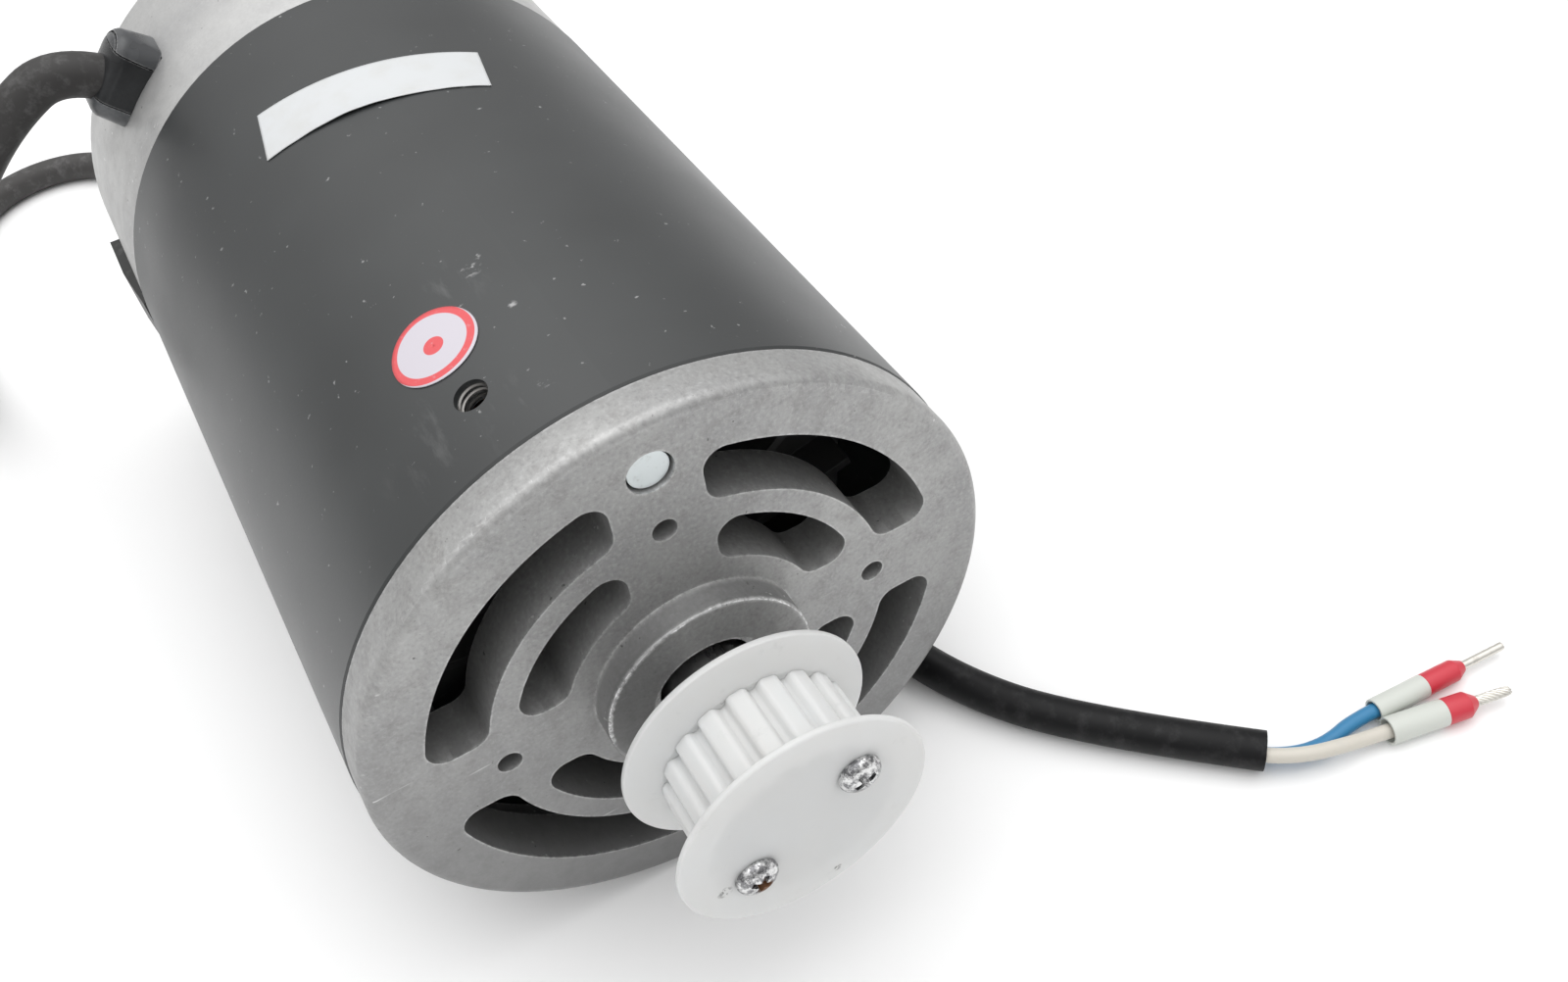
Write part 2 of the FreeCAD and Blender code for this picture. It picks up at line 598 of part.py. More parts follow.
def shaft_seal():
    """Rubber ring in the boss, around the spacer sleeve."""
    rear = "front_bearing_x + front_bearing_width / 2"
    tube("shaft_seal", rear + " + seal_setback", rear + " + seal_length", "seal_inner",
         "boss_bore - pocket_gap")


def seal_circlip():
    """Inner circlip with a gap between two eared ends, in the groove of the boss."""
    body = new_body("seal_circlip")
    groove_rear = "boss_height - circlip_setback - circlip_play / 2 - circlip_thickness"
    face = new_sketch(body, "YZ_Plane", offset=groove_rear)
    sector(face, "circlip_inner", "circlip_outer", "circlip_half_angle")
    pad(body, face, "circlip_thickness")
    for sign in ("", "-"):
        ear = new_sketch(body, "YZ_Plane", offset=groove_rear)
        circle(ear, sign + "circlip_ear_circle * sin(circlip_half_angle)",
               "circlip_ear_circle * cos(circlip_half_angle)", "circlip_ear_radius")
        pad(body, ear, "circlip_thickness")
    body.Placement = Placement(Vector(), Rotation(Vector(1, 0, 0), 180 + number("circlip_clock")))
    done(body)


# ---- brush gear, built on the +Y side and turned half round for the other ----

TO_Y = Rotation(Vector(1, 0, 0), -90)
BRUSH_SIDES = (("left", 180), ("right", 0))


def on_side(item, half_turn, label):
    item.Placement = Placement(Vector(), Rotation(Vector(1, 0, 0), half_turn)).multiply(item.Placement)
    done(item, label)


def brush_holder(side, half_turn):
    """Moulded holder: a flange let into the rear cover and a block that reaches for the commutator."""
    body = new_body("brush_holder_" + side)
    flange = new_sketch(body, "XY_Plane")
    outline(flange, [("flange_rear", "flange_seat"), ("flange_front", "flange_seat"),
                     ("flange_front", "flange_front_height"), ("flange_slope", "flange_outer"),
                     ("flange_rear", "flange_outer")])
    pad(body, flange, "2 * flange_half_height", midplane=True)
    block = new_sketch(body, "XY_Plane")
    rectangle(block, "brush_x - holder_half_width", "brush_x + holder_half_width", "holder_inner",
              "flange_seat + holder_overlap")
    pad(body, block, "2 * holder_half_thickness", midplane=True)
    channel = new_sketch(body, "XY_Plane")
    half = "(brush_half_width + brush_play + guide_wall)"
    rectangle(channel, "brush_x - " + half, "brush_x + " + half, "holder_inner - overshoot",
              "cap_inner + holder_overlap")
    pocket(body, channel, "2 * (brush_half_thickness + brush_play + guide_wall)", midplane=True)
    bore = new_sketch(body, "XZ_Plane", offset="-cap_inner")
    circle(bore, "brush_x", "0", "cap_radius")
    pocket(body, bore, "casing_radius")
    on_side(body, half_turn, body.Label)


def brush_box(name, half_width, half_thickness, inner, length):
    """A block about the brush's own centre line, from an inner radius outwards."""
    item = box(name, "2 * " + half_width, length, "2 * " + half_thickness)
    return place(item, "brush_x - " + half_width, inner, "-" + half_thickness)


def brush_set(side, half_turn):
    """Brass guide, carbon brush, spring and slotted screw cap."""
    shell = brush_box("guide_shell", "(brush_half_width + brush_play + guide_wall)",
                      "(brush_half_thickness + brush_play + guide_wall)", "holder_inner",
                      "cap_inner - holder_inner")
    bore = brush_box("guide_bore", "(brush_half_width + brush_play)",
                     "(brush_half_thickness + brush_play)", "holder_inner", "cap_inner - holder_inner")
    on_side(cut("guide", shell, bore), half_turn, "brush_guide_" + side)

    carbon = brush_box("carbon", "brush_half_width", "brush_half_thickness",
                       "commutator_radius - overshoot", "brush_length + overshoot")
    arc = place(cylinder("brush_face", "commutator_radius + race_gap", "4 * brush_half_width"),
                "brush_x - 2 * brush_half_width", rotation=TO_X)
    on_side(cut("carbon_face", carbon, arc), half_turn, "carbon_brush_" + side)

    cap = cylinder("cap_disc", "cap_radius - pocket_gap", "cap_outer - cap_inner")
    place(cap, "brush_x", "cap_inner", rotation=TO_Y)
    slot = box("cap_slot", "2 * cap_radius", "cap_slot_depth", "2 * cap_slot_half")
    place(slot, "brush_x - cap_radius", "cap_outer - cap_slot_depth", "-cap_slot_half")
    on_side(cut("cap", cap, slot), half_turn, "brush_cap_" + side)

    spring = doc.addObject("Part::Feature", "brush_spring")
    spring.Shape = coil_spring()
    on_side(spring, half_turn, "brush_spring_" + side)


def coil_spring():
    """Round wire along a helix between the carbon brush and its cap."""
    radius, wire = number("spring_radius"), number("spring_wire")
    start = number("commutator_radius + brush_length") + wire
    height = number("cap_inner") - start - wire
    helix = Part.makeHelix(height / number("spring_turns"), height, radius)
    section = Part.Wire(Part.makeCircle(wire, Vector(radius, 0, 0), Vector(0, 1, 0)))
    coil = Part.Wire(helix.Edges).makePipeShell([section], True, True)
    coil.Placement = Placement(Vector(number("brush_x"), start, 0), TO_Y)
    return coil


# ---- cable, wires and leads ----

def route_edges(label, points):
    """Straight runs joined by arcs as large as the shorter run beside each corner allows."""
    corners = [Vector(*point) for point in points]
    edges, start, radii = [], corners[0], []
    for before, corner, after in zip(corners, corners[1:], corners[2:]):
        incoming, outgoing = corner - before, after - corner
        half_turn = incoming.getAngle(outgoing) / 2
        reach = ARC_SHARE * min(incoming.Length, outgoing.Length)
        radius = reach / math.tan(half_turn)
        incoming.normalize()
        outgoing.normalize()
        first, last = corner - incoming * reach, corner + outgoing * reach
        inward = outgoing - incoming
        inward.normalize()
        middle = corner + inward * (radius / math.cos(half_turn) - radius)
        edges += [Part.LineSegment(start, first).toShape(), Part.Arc(first, middle, last).toShape()]
        radii.append(round(radius, 1))
        start = last
    edges.append(Part.LineSegment(start, corners[-1]).toShape())
    print(label, "bend radii", radii, "length", round(sum(edge.Length for edge in edges), 1))
    return edges


def swept_tube(edges, radius):
    """Sweep a circle along a path and check the volume against section times length."""
    path = Part.Wire(edges)
    start = edges[0].valueAt(edges[0].FirstParameter)
    heading = edges[0].tangentAt(edges[0].FirstParameter)
    solid = path.makePipeShell([Part.Wire(Part.makeCircle(radius, start, heading))], True, False)
    expected = math.pi * radius ** 2 * path.Length
    if abs(solid.Volume / expected - 1) > VOLUME_TOLERANCE:
        raise ValueError("a swept tube lost its volume")
    return solid


def feature(label, shape):
    item = doc.addObject("Part::Feature", label)
    item.Shape = shape
    item.Placement = Placement()
    return item


def supply_cable():
    """The jacketed cable, and the bend sleeve around its first stretch."""
    edges = route_edges("supply_cable", CABLE_ROUTE)
    done(feature("supply_cable", swept_tube(edges, number("cable_radius"))), "supply_cable")
    sleeved = edges[:5]
    jacket = feature("sleeve_jacket", swept_tube(sleeved, number("sleeve_radius")))
    bore = feature("sleeve_bore", swept_tube(sleeved, number("cable_radius + sleeve_gap")))
    done(cut("sleeve", jacket, bore), "cable_sleeve")


def cable_passage():
    """The room that the sleeved cable takes in the strain relief, open on the inner side."""
    inner, corner = Vector(*CABLE_ROUTE[0]), Vector(*CABLE_ROUTE[1])
    heading = corner - inner
    heading.normalize()
    entry = inner - heading * number("passage_lead")
    edges = route_edges("cable_passage", CABLE_ROUTE[:4])[:3]
    radius = number("sleeve_radius + pocket_gap")
    bend = swept_tube(edges, radius)
    lead = Part.makeCylinder(radius, number("passage_lead"), entry, heading)
    return feature("cable_passage", bend.fuse(lead))


def ferrule(colour, route):
    """Printed collar, insulating band with a bevelled end and tinned pin, all in line with the wire."""
    end, before = Vector(*route[-1]), Vector(*route[-2])
    heading = end - before
    heading.normalize()
    turn = Rotation(Vector(0, 0, 1), heading)
    collar, band, pin_length = [number(colour + part) for part in ("_collar", "_band", "_pin")]
    width, taper, pin_radius = number(colour + "_width"), number("band_taper"), number("pin_radius")
    band_radius = width - number("band_step")
    sleeve = Part.makeCylinder(width, collar)
    socket = Part.makeCylinder(number("wire_radius + wire_gap"), number("collar_socket"))
    cone = Part.makeCone(band_radius, pin_radius, taper, Vector(0, 0, collar + band - taper))
    insulation = Part.makeCylinder(band_radius, band - taper, Vector(0, 0, collar)).fuse(cone)
    tip = Part.makeCylinder(pin_radius, pin_length, Vector(0, 0, collar + band))
    for piece, shape in (("collar", sleeve.cut(socket)), ("band", insulation), ("pin", tip)):
        item = feature(colour + "_ferrule_" + piece, shape)
        item.Placement = Placement(end - heading * number("collar_socket"), turn)
        done(item, colour + "_ferrule_" + piece)


def wires():
    """The two cores that leave the jacket, each ending in a ferrule."""
    for colour, route in (("blue", BLUE_ROUTE), ("white", WHITE_ROUTE)):
        edges = route_edges(colour + "_wire", route)
        done(feature(colour, swept_tube(edges, number("wire_radius"))), colour + "_wire")
        ferrule(colour, route)


def brush_leads():
    """Insulated leads from the inner end of the cable to the two brush holders."""
    leads = [feature("lead", swept_tube(route_edges("brush_lead", route), number("lead_radius")))
             for route in LEAD_ROUTES]
    done(together("Part::Compound", "leads", leads), "brush_leads")


# ---- strain relief, built with local z as the outward radius ----

def relief_block(name, half_length, half_width, low, high):
    item = box(name, "2 * " + half_length, "2 * " + half_width, "%s - %s" % (high, low))
    return place(item, "relief_x - " + half_length, "-" + half_width, low)


def strain_relief():
    """Split bush: two side shells joined by a foot, and a wedge between them that grips the cable."""
    head = relief_block("relief_head", "relief_half_length", "relief_half_width", "relief_seat",
                        "relief_height")
    doc.recompute()
    rounded = doc.addObject("Part::Fillet", "relief_rounded")
    rounded.Base = head
    radii = []
    for i, edge in enumerate(head.Shape.Edges, start=1):
        span = edge.BoundBox
        if span.ZLength > TOUCHING:
            radii.append((i, number("relief_corner"), number("relief_corner")))
        elif span.ZMin > number("relief_seat") + TOUCHING:
            radii.append((i, number("relief_round"), number("relief_round")))
    rounded.Edges = radii
    barrel = place(cylinder("relief_barrel", "bell_radius + pocket_gap", "4 * relief_half_length"),
                   "relief_x - 2 * relief_half_length", rotation=TO_X)
    seated = cut("relief_seated", rounded, barrel)
    neck = relief_block("relief_neck", "(relief_neck_half_length - neck_play)",
                        "(relief_neck_half_width - neck_play)", "relief_inner",
                        "(relief_height - relief_foot)")
    whole = together("Part::MultiFuse", "relief_whole", [seated, neck])
    floor, top = "(relief_inner + relief_foot)", "(relief_height + overshoot)"
    slot = relief_block("relief_slot", "(2 * relief_half_length)", "relief_wedge_half", floor, top)
    key = relief_block("relief_key", "(2 * relief_half_length)", "(relief_wedge_half - wedge_play)",
                       floor, top)
    wedge = doc.addObject("Part::Common", "relief_wedge")
    wedge.Base = whole
    wedge.Tool = key
    passage = cable_passage()
    turn = Rotation(Vector(1, 0, 0), number("relief_clock"))
    shells = cut("relief_shells", whole, slot)
    for item, label in ((shells, "strain_relief_body"), (wedge, "strain_relief_wedge")):
        item.Placement = Placement(Vector(), turn)
        done(cut(label, item, passage), label)


# ---- labels, thin shells on the casing ----

def skin(name, outline_tool, x, clock, turn, label):
    """The part of a thin shell on the casing that lies inside a tool standing on it."""
    outer = place(cylinder(name + "_outer", "casing_radius + label_thickness", "casing_length"),
                  "-rim_width - casing_length", rotation=TO_X)
    inner = place(cylinder(name + "_inner", "casing_radius + pocket_gap / 2", "casing_length"),
                  "-rim_width - casing_length", rotation=TO_X)
    tilt = Placement(Vector(), Rotation(Vector(1, 0, 0), number(clock)))
    spin_about = Placement(Vector(number(x), 0, 0), Rotation(Vector(0, 0, 1), number(turn)))
    outline_tool.Placement = tilt.multiply(spin_about).multiply(outline_tool.Placement)
    piece = doc.addObject("Part::Common", name)
    piece.Base = cut(name + "_shell", outer, inner)
    piece.Tool = outline_tool
    done(piece, label)


def labels():
    """A blank rating label, turned a little, and a round sticker beside the earth hole."""
    plate = box("label_plate", "2 * label_half_width", "2 * label_half_length", "2 * casing_radius")
    corner = Vector(-number("label_half_width"), -number("label_half_length"), number("overshoot"))
    plate.Placement = Placement(corner, Rotation())
    skin("label_skin", plate, "label_x", "label_clock", "label_turn", "rating_label")
    disc = cylinder("sticker_disc", "sticker_radius", "2 * casing_radius")
    skin("sticker_skin", disc, "sticker_x", "sticker_clock", "0", "round_sticker")


# ---- rotor ----

def spun(item, x, radius, half_depth, clock):
    """Stand a box on a radius, centred on a clock angle."""
    corner = Placement(Vector(number(x), -number(half_depth), number(radius)), Rotation())
    item.Placement = Placement(Vector(), Rotation(Vector(1, 0, 0), clock)).multiply(corner)
    return item


def motor_shaft():
    """Stepped shaft with a flat for the pulley."""
    body = new_body("motor_shaft")
    front_step = "front_bearing_x - front_bearing_width / 2"
    rear_step = "rear_bearing_x + rear_bearing_width / 2"
    front_radius, rear_radius = "front_bearing_bore - shaft_fit", "rear_bearing_bore - shaft_fit"
    revolve(body, [("shaft_rear", "0"), ("shaft_front", "0"), ("shaft_front", front_radius),
                   (front_step, front_radius), (front_step, "shaft_radius"), (rear_step, "shaft_radius"),
                   (rear_step, rear_radius), ("shaft_rear", rear_radius)])
    flat = new_sketch(body, "YZ_Plane", offset="shaft_front")
    rectangle(flat, "-shaft_radius", "shaft_radius", "shaft_flat", "shaft_radius")
    pocket(body, flat, "shaft_front - spacer_front")
    soften(body, circle_edge("shaft_rear", rear_radius), "shaft_chamfer", "PartDesign::Chamfer", "Size")
    done(body)


def slotted_disc(label, front, length):
    """A stack of laminations with twelve slots that open outwards."""
    body = new_body(label)
    rear, bore = "%s - %s" % (front, length), "shaft_radius + shaft_fit"
    revolve(body, [(rear, bore), (front, bore), (front, "core_radius"), (rear, "core_radius")])
    slot = new_sketch(body, "YZ_Plane", offset=front)
    rim = "core_radius + overshoot"
    outline(slot, [("-slot_half_floor", "slot_floor"), ("slot_half_floor", "slot_floor"),
                   ("slot_half_top", "slot_top"), ("slot_mouth", "slot_top"), ("slot_mouth", rim),
                   ("-slot_mouth", rim), ("-slot_mouth", "slot_top"), ("-slot_half_top", "slot_top")])
    around(body, pocket(body, slot, length), "slot_count")
    return body


def armature():
    """Core, end insulators, windings and the wedges that close the slots."""
    done(slotted_disc("rotor_core", "core_front", "core_length"))
    ends = [slotted_disc("front_insulator", "core_front + insulator_thickness", "insulator_thickness"),
            slotted_disc("rear_insulator", "core_front - core_length", "insulator_thickness")]
    done(together("Part::Compound", "insulators", ends), "core_insulators")

    coils = new_body("rotor_windings")
    front = "core_front + insulator_thickness"
    rear = "core_front - core_length - insulator_thickness"
    front_end, rear_end = front + " + front_winding", rear + " - rear_winding"
    revolve(coils, [(front, "winding_inner"), (front_end, "winding_inner + winding_slope"),
                    (front_end, "winding_radius - winding_slope"),
                    (front + " + winding_slope", "winding_radius"), (front, "winding_radius")])
    bar = new_sketch(coils, "YZ_Plane", offset=rear)
    low, high = "slot_floor + coil_gap", "slot_top - coil_gap"
    outline(bar, [("-coil_half_floor", low), ("coil_half_floor", low),
                  ("coil_half_top", high), ("-coil_half_top", high)])
    around(coils, pad(coils, bar, "core_length + 2 * insulator_thickness"), "slot_count")
    revolve(coils, [(rear, "winding_inner"), (rear, "winding_radius"),
                    (rear + " - winding_slope", "winding_radius"),
                    (rear_end, "winding_radius - winding_slope"), (rear_end, "winding_inner")])
    done(coils)

    wedges = []
    for i in range(int(number("slot_count"))):
        wedge = box("wedge", "core_length", "2 * wedge_half", "core_radius - slot_top - wedge_setback")
        wedges.append(spun(wedge, "core_front - core_length", "slot_top", "wedge_half",
                           i * 360 / number("slot_count")))
    done(together("Part::Compound", "wedges", wedges), "slot_wedges")


def commutator():
    """Moulded hub and copper bars with risers, parted by narrow slots."""
    rear = "commutator_front - commutator_length"
    tube("commutator_hub", rear, "commutator_front", "shaft_radius + shaft_fit", "bar_inner")
    drum = place(cylinder("bar_drum", "commutator_radius", "commutator_length"), rear, rotation=TO_X)
    riser = cylinder("bar_riser", "riser_radius", "riser_length")
    place(riser, "commutator_front - riser_length", rotation=TO_X)
    core = place(cylinder("bar_core", "bar_inner + shaft_fit", "commutator_length"), rear, rotation=TO_X)
    ring = cut("bar_ring", together("Part::MultiFuse", "bar_blank", [drum, riser]), core)
    gaps = []
    for i in range(int(number("bar_count / 2"))):
        gap = box("bar_gap", "commutator_length", "2 * bar_half_gap", "4 * riser_radius")
        gaps.append(spun(gap, rear, "-2 * riser_radius", "bar_half_gap", i * 360 / number("bar_count")))
    done(cut("bars", ring, together("Part::MultiFuse", "bar_gaps", gaps)), "commutator_bars")


def cooling_fan():
    """Disc with straight blades on its front side and a hub on the shaft."""
    body = new_body("cooling_fan")
    rear, bore = "fan_front - fan_depth", "shaft_radius + shaft_fit"
    disc_front = rear + " + fan_disc"
    revolve(body, [(rear, bore), ("fan_front", bore), ("fan_front", "fan_hub_radius"),
                   (disc_front, "fan_hub_radius"), (disc_front, "fan_radius"), (rear, "fan_radius")])
    blade = new_sketch(body, "YZ_Plane", offset=rear)
    rectangle(blade, "-blade_half", "blade_half", "blade_root", "fan_radius - blade_setback")
    around(body, pad(body, blade, "fan_depth"), "blade_count")
    done(body)


# ---- pulley ----

def screw_spot(sketch, radius):
    circle(sketch, "-screw_circle_radius * sin(screw_clock)",
           "screw_circle_radius * cos(screw_clock)", radius)


def pulley_hub():
    """Toothed hub with a collar, a coned rear flange, a flatted bore and two screw holes."""
    body = new_body("pulley_hub")
    rim_front, bore = "rear_flange_x + rear_flange", "front_bearing_bore"
    revolve(body, [("spacer_front", bore), ("tooth_front", bore), ("tooth_front", "tip_radius"),
                   ("tooth_rear", "tip_radius"), (rim_front, "flange_radius"),
                   ("rear_flange_x", "flange_radius"), ("rear_flange_x", "pulley_collar"),
                   ("spacer_front", "pulley_collar")])
    flat = new_sketch(body, "YZ_Plane", offset="spacer_front")
    rectangle(flat, "-shaft_flat", "shaft_flat", "shaft_flat + shaft_fit",
              "front_bearing_bore + overshoot")
    pad(body, flat, "tooth_front - spacer_front")
    groove = new_sketch(body, "YZ_Plane", offset="tooth_front", clock="groove_clock")
    beyond = "tip_radius + overshoot"
    outline(groove, [("-groove_half_floor", "root_radius"), ("groove_half_floor", "root_radius"),
                     ("groove_half_top", "tip_radius"), ("groove_half_top", beyond),
                     ("-groove_half_top", beyond), ("-groove_half_top", "tip_radius")])
    around(body, pocket(body, groove, "tooth_front - tooth_rear"), "tooth_count")
    pilots = new_sketch(body, "YZ_Plane", offset="tooth_front")
    screw_spot(pilots, "pilot_radius")
    around(body, pocket(body, pilots, "screw_length"), "2")
    done(body)


def pulley_flange():
    """Loose front flange with rounded edges, held by the two screws."""
    body = new_body("pulley_flange")
    front = "tooth_front + front_flange"
    revolve(body, [("tooth_front", "0"), (front, "0"), (front, "flange_radius"),
                   ("tooth_front", "flange_radius")])
    holes = new_sketch(body, "YZ_Plane", offset=front)
    screw_spot(holes, "pilot_radius + screw_play")
    around(body, pocket(body, holes, "front_flange"), "2")
    soften(body, circle_edge(front, "flange_radius"), "flange_round")
    done(body)


def pulley_screws():
    """Two pan-head screws with cross recesses."""
    front = "tooth_front + front_flange"
    screws = []
    for half_turn in (0, 180):
        shank = place(cylinder("screw_shank", "screw_radius", "screw_length + screw_head"),
                      front + " - screw_length", rotation=TO_X)
        head = place(cylinder("screw_pan", "screw_head_radius", "screw_head"), front, rotation=TO_X)
        screw = together("Part::MultiFuse", "screw_blank", [shank, head])
        for width, height in (("recess_half", "recess_arm"), ("recess_arm", "recess_half")):
            slot = box("recess", "recess_depth", "2 * " + width, "2 * " + height)
            place(slot, front + " + screw_head - recess_depth", "-" + width, "-" + height)
            screw = cut("screw_cut", screw, slot)
        spot = clock_point(0, number("screw_circle_radius"), number("screw_clock") + half_turn)
        screw.Placement = Placement(spot, Rotation())
        screws.append(screw)
    done(together("Part::Compound", "screws", screws), "pulley_screws")


# ---- assembly ----

motor_casing()
front_end_bell()
rear_end_bell()
magnet("left_magnet", 90)
magnet("right_magnet", -90)
tie_bolts()
ball_bearing("front")
ball_bearing("rear")
bearing_preload_ring()
shaft_seal()
seal_circlip()
for brush_side, brush_turn in BRUSH_SIDES:
    brush_holder(brush_side, brush_turn)
    brush_set(brush_side, brush_turn)
brush_leads()
strain_relief()
supply_cable()
wires()
labels()
motor_shaft()
armature()
commutator()
cooling_fan()
tube("spacer_sleeve", "front_bearing_x + front_bearing_width / 2", "spacer_front", "front_bearing_bore",
     "spacer_radius")
pulley_hub()
pulley_flange()
pulley_screws()


# ---- checks and export ----

doc.recompute()
for item in doc.Objects:
    if {"Invalid", "Error"} & set(item.State):
        raise ValueError(item.Label + " could not be computed")
for item in FINISHED:
    if item.Shape.isNull() or not item.Shape.isValid() or not item.Shape.Solids:
        raise ValueError(item.Label + " has no valid shape")
os.makedirs("parts", exist_ok=True)
for item in FINISHED:
    item.Shape.exportStep("parts/" + item.Label + ".step")
print(len(FINISHED), "sub-parts written")
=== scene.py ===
import math

import bmesh
import bpy
from mathutils import Matrix, Vector, noise


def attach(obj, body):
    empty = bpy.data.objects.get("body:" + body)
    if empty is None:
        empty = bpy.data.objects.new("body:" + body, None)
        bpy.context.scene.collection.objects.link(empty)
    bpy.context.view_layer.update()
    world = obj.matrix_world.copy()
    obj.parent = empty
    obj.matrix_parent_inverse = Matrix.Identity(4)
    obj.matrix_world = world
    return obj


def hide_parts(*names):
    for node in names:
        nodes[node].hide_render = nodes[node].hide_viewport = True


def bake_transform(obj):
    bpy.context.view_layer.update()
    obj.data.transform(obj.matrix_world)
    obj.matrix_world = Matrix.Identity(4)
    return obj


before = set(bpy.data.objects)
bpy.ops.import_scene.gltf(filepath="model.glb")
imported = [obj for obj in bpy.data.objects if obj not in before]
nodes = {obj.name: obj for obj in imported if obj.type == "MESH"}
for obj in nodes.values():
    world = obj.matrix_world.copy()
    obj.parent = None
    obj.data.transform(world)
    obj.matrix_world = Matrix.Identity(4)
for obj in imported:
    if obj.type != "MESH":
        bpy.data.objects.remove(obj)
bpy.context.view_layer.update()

MM = 0.001
CASING_R = 50
scene = bpy.context.scene
scene.view_settings.view_transform = "Standard"


# ---- camera ----

camera = bpy.data.objects.new("camera", bpy.data.cameras.new("camera"))
camera.data.sensor_width = 36
camera.data.lens = 33.34
camera.data.clip_start = 0.01
camera.location = (0.12074, -0.0356, 0.17212)
camera.rotation_euler = [math.radians(angle) for angle in (41.81, 5.74, 59.84)]
scene.collection.objects.link(camera)
scene.camera = camera


# ---- cords, as control points in millimetres ----

CABLE_ROUTE = [
    (-147.5, -30.4, 32.6), (-147.5, -42.2, 45.3), (-147.5, -58, 38), (-149, -72, 22),
    (-155, -83, 1), (-167, -91, -21), (-187, -96, -38), (-213, -98.5, -46.4), (-239, -97.5, -46.4),
    (-260, -91, -46.4), (-276, -81.4, -46.4), (-281.4, -66, -46.4), (-276, -50.6, -46.4),
    (-260.5, -41, -46.4), (-243, -24, -46.4), (-232, -1, -46.4), (-215, 20, -46.4), (-190, 34, -46.4),
    (-159, 39.5, -46.4), (-122, 38.5, -46.4), (-84, 37, -46.4), (-52, 37.5, -46.4),
    (-26, 39.5, -46.4), (-3, 45.5, -46.4), (17, 59, -46.4), (37.8, 81.3, -46.4),
]
BLUE_ROUTE = [(37.72, 81.51, -47.8), (38.79, 82.66, -47.8), (41.0, 87.2, -47.9), (41.8, 92.4, -47.9),
              (40.98, 97.92, -47.9), (41.44, 103.4, -47.9)]
WHITE_ROUTE = [(38.82, 80.49, -45.6), (39.89, 81.64, -45.6), (42.9, 86.5, -45.2), (44.5, 93.4, -46.1),
               (44.92, 97.6, -47.4), (45.93, 101.98, -47.4)]
CABLE_R, WIRE_R, SLEEVE_R, SLEEVE_TAPER = 3.5, 1.3, 4.1, (1, 1, 1, 0.87)


def cord_curve(name, route, radius, taper=None):
    """One open NURBS spline with the route's points as its control points.

    The points hold the radius and the bevel depth is 1, so that the curve's box fits the tube.
    """
    curve = bpy.data.curves.new(name, "CURVE")
    curve.dimensions = "3D"
    spline = curve.splines.new("NURBS")
    spline.points.add(len(route) - 1)
    for i, point in enumerate(route):
        spline.points[i].co = (*(Vector(point) * MM), 1)
        spline.points[i].radius = radius * MM * (taper[i] if taper else 1)
    spline.order_u = 3
    spline.use_endpoint_u = True
    spline.resolution_u = 10
    curve.bevel_depth = 1
    curve.bevel_resolution = 8
    curve.use_fill_caps = True
    piece = bpy.data.objects.new(name, curve)
    scene.collection.objects.link(piece)
    return piece


supply_cable = cord_curve("cable", CABLE_ROUTE, CABLE_R)
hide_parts("supply_cable")
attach(supply_cable, "stator")

blue_wire = cord_curve("wire_blue", BLUE_ROUTE, WIRE_R)
white_wire = cord_curve("wire_white", WHITE_ROUTE, WIRE_R)
for wire, node in ((blue_wire, "blue_wire"), (white_wire, "white_wire")):
    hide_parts(node)
    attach(wire, "stator")


# ---- stage and light ----

FLOOR_Z, FLOOR_HALF = -0.05, 3
HORIZON_GLOW, ZENITH_GLOW = 0.38, 1.7

floor_mesh = bpy.data.meshes.new("floor")
floor_corners = [(along * FLOOR_HALF, across * FLOOR_HALF, FLOOR_Z)
                 for along, across in ((-1, -1), (1, -1), (1, 1), (-1, 1))]
floor_mesh.from_pydata(floor_corners, [], [(0, 1, 2, 3)])
floor = bpy.data.objects.new("floor", floor_mesh)
scene.collection.objects.link(floor)

world = bpy.data.worlds.new("studio")
world.use_nodes = True
sky = world.node_tree
direction = sky.nodes.new("ShaderNodeTexCoord")
split = sky.nodes.new("ShaderNodeSeparateXYZ")
steep = sky.nodes.new("ShaderNodeMath")
steep.operation = "POWER"
steep.use_clamp = True
steep.inputs[1].default_value = 2
bright = sky.nodes.new("ShaderNodeMath")
bright.operation = "MULTIPLY_ADD"
bright.inputs[1].default_value = ZENITH_GLOW
bright.inputs[2].default_value = HORIZON_GLOW
sky.links.new(direction.outputs["Generated"], split.inputs[0])
sky.links.new(split.outputs["Z"], steep.inputs[0])
sky.links.new(steep.outputs[0], bright.inputs[0])
sky.links.new(bright.outputs[0], sky.nodes["Background"].inputs["Strength"])
sky.nodes["Background"].inputs["Color"].default_value = (1, 1, 1, 1)
scene.world = world


def softbox(name, location, target, size, power):
    """A square area light that faces a target."""
    data = bpy.data.lights.new(name, "AREA")
    data.shape = "RECTANGLE"
    data.size = data.size_y = size
    data.energy = power
    light = bpy.data.objects.new(name, data)
    light.location = location
    light.rotation_euler = (Vector(target) - Vector(location)).to_track_quat("-Z", "Y").to_euler()
    scene.collection.objects.link(light)


softbox("top", location=(-0.2, 0.1, 1.1), target=(-0.05, 0, 0), size=1.2, power=3)


# ---- materials ----

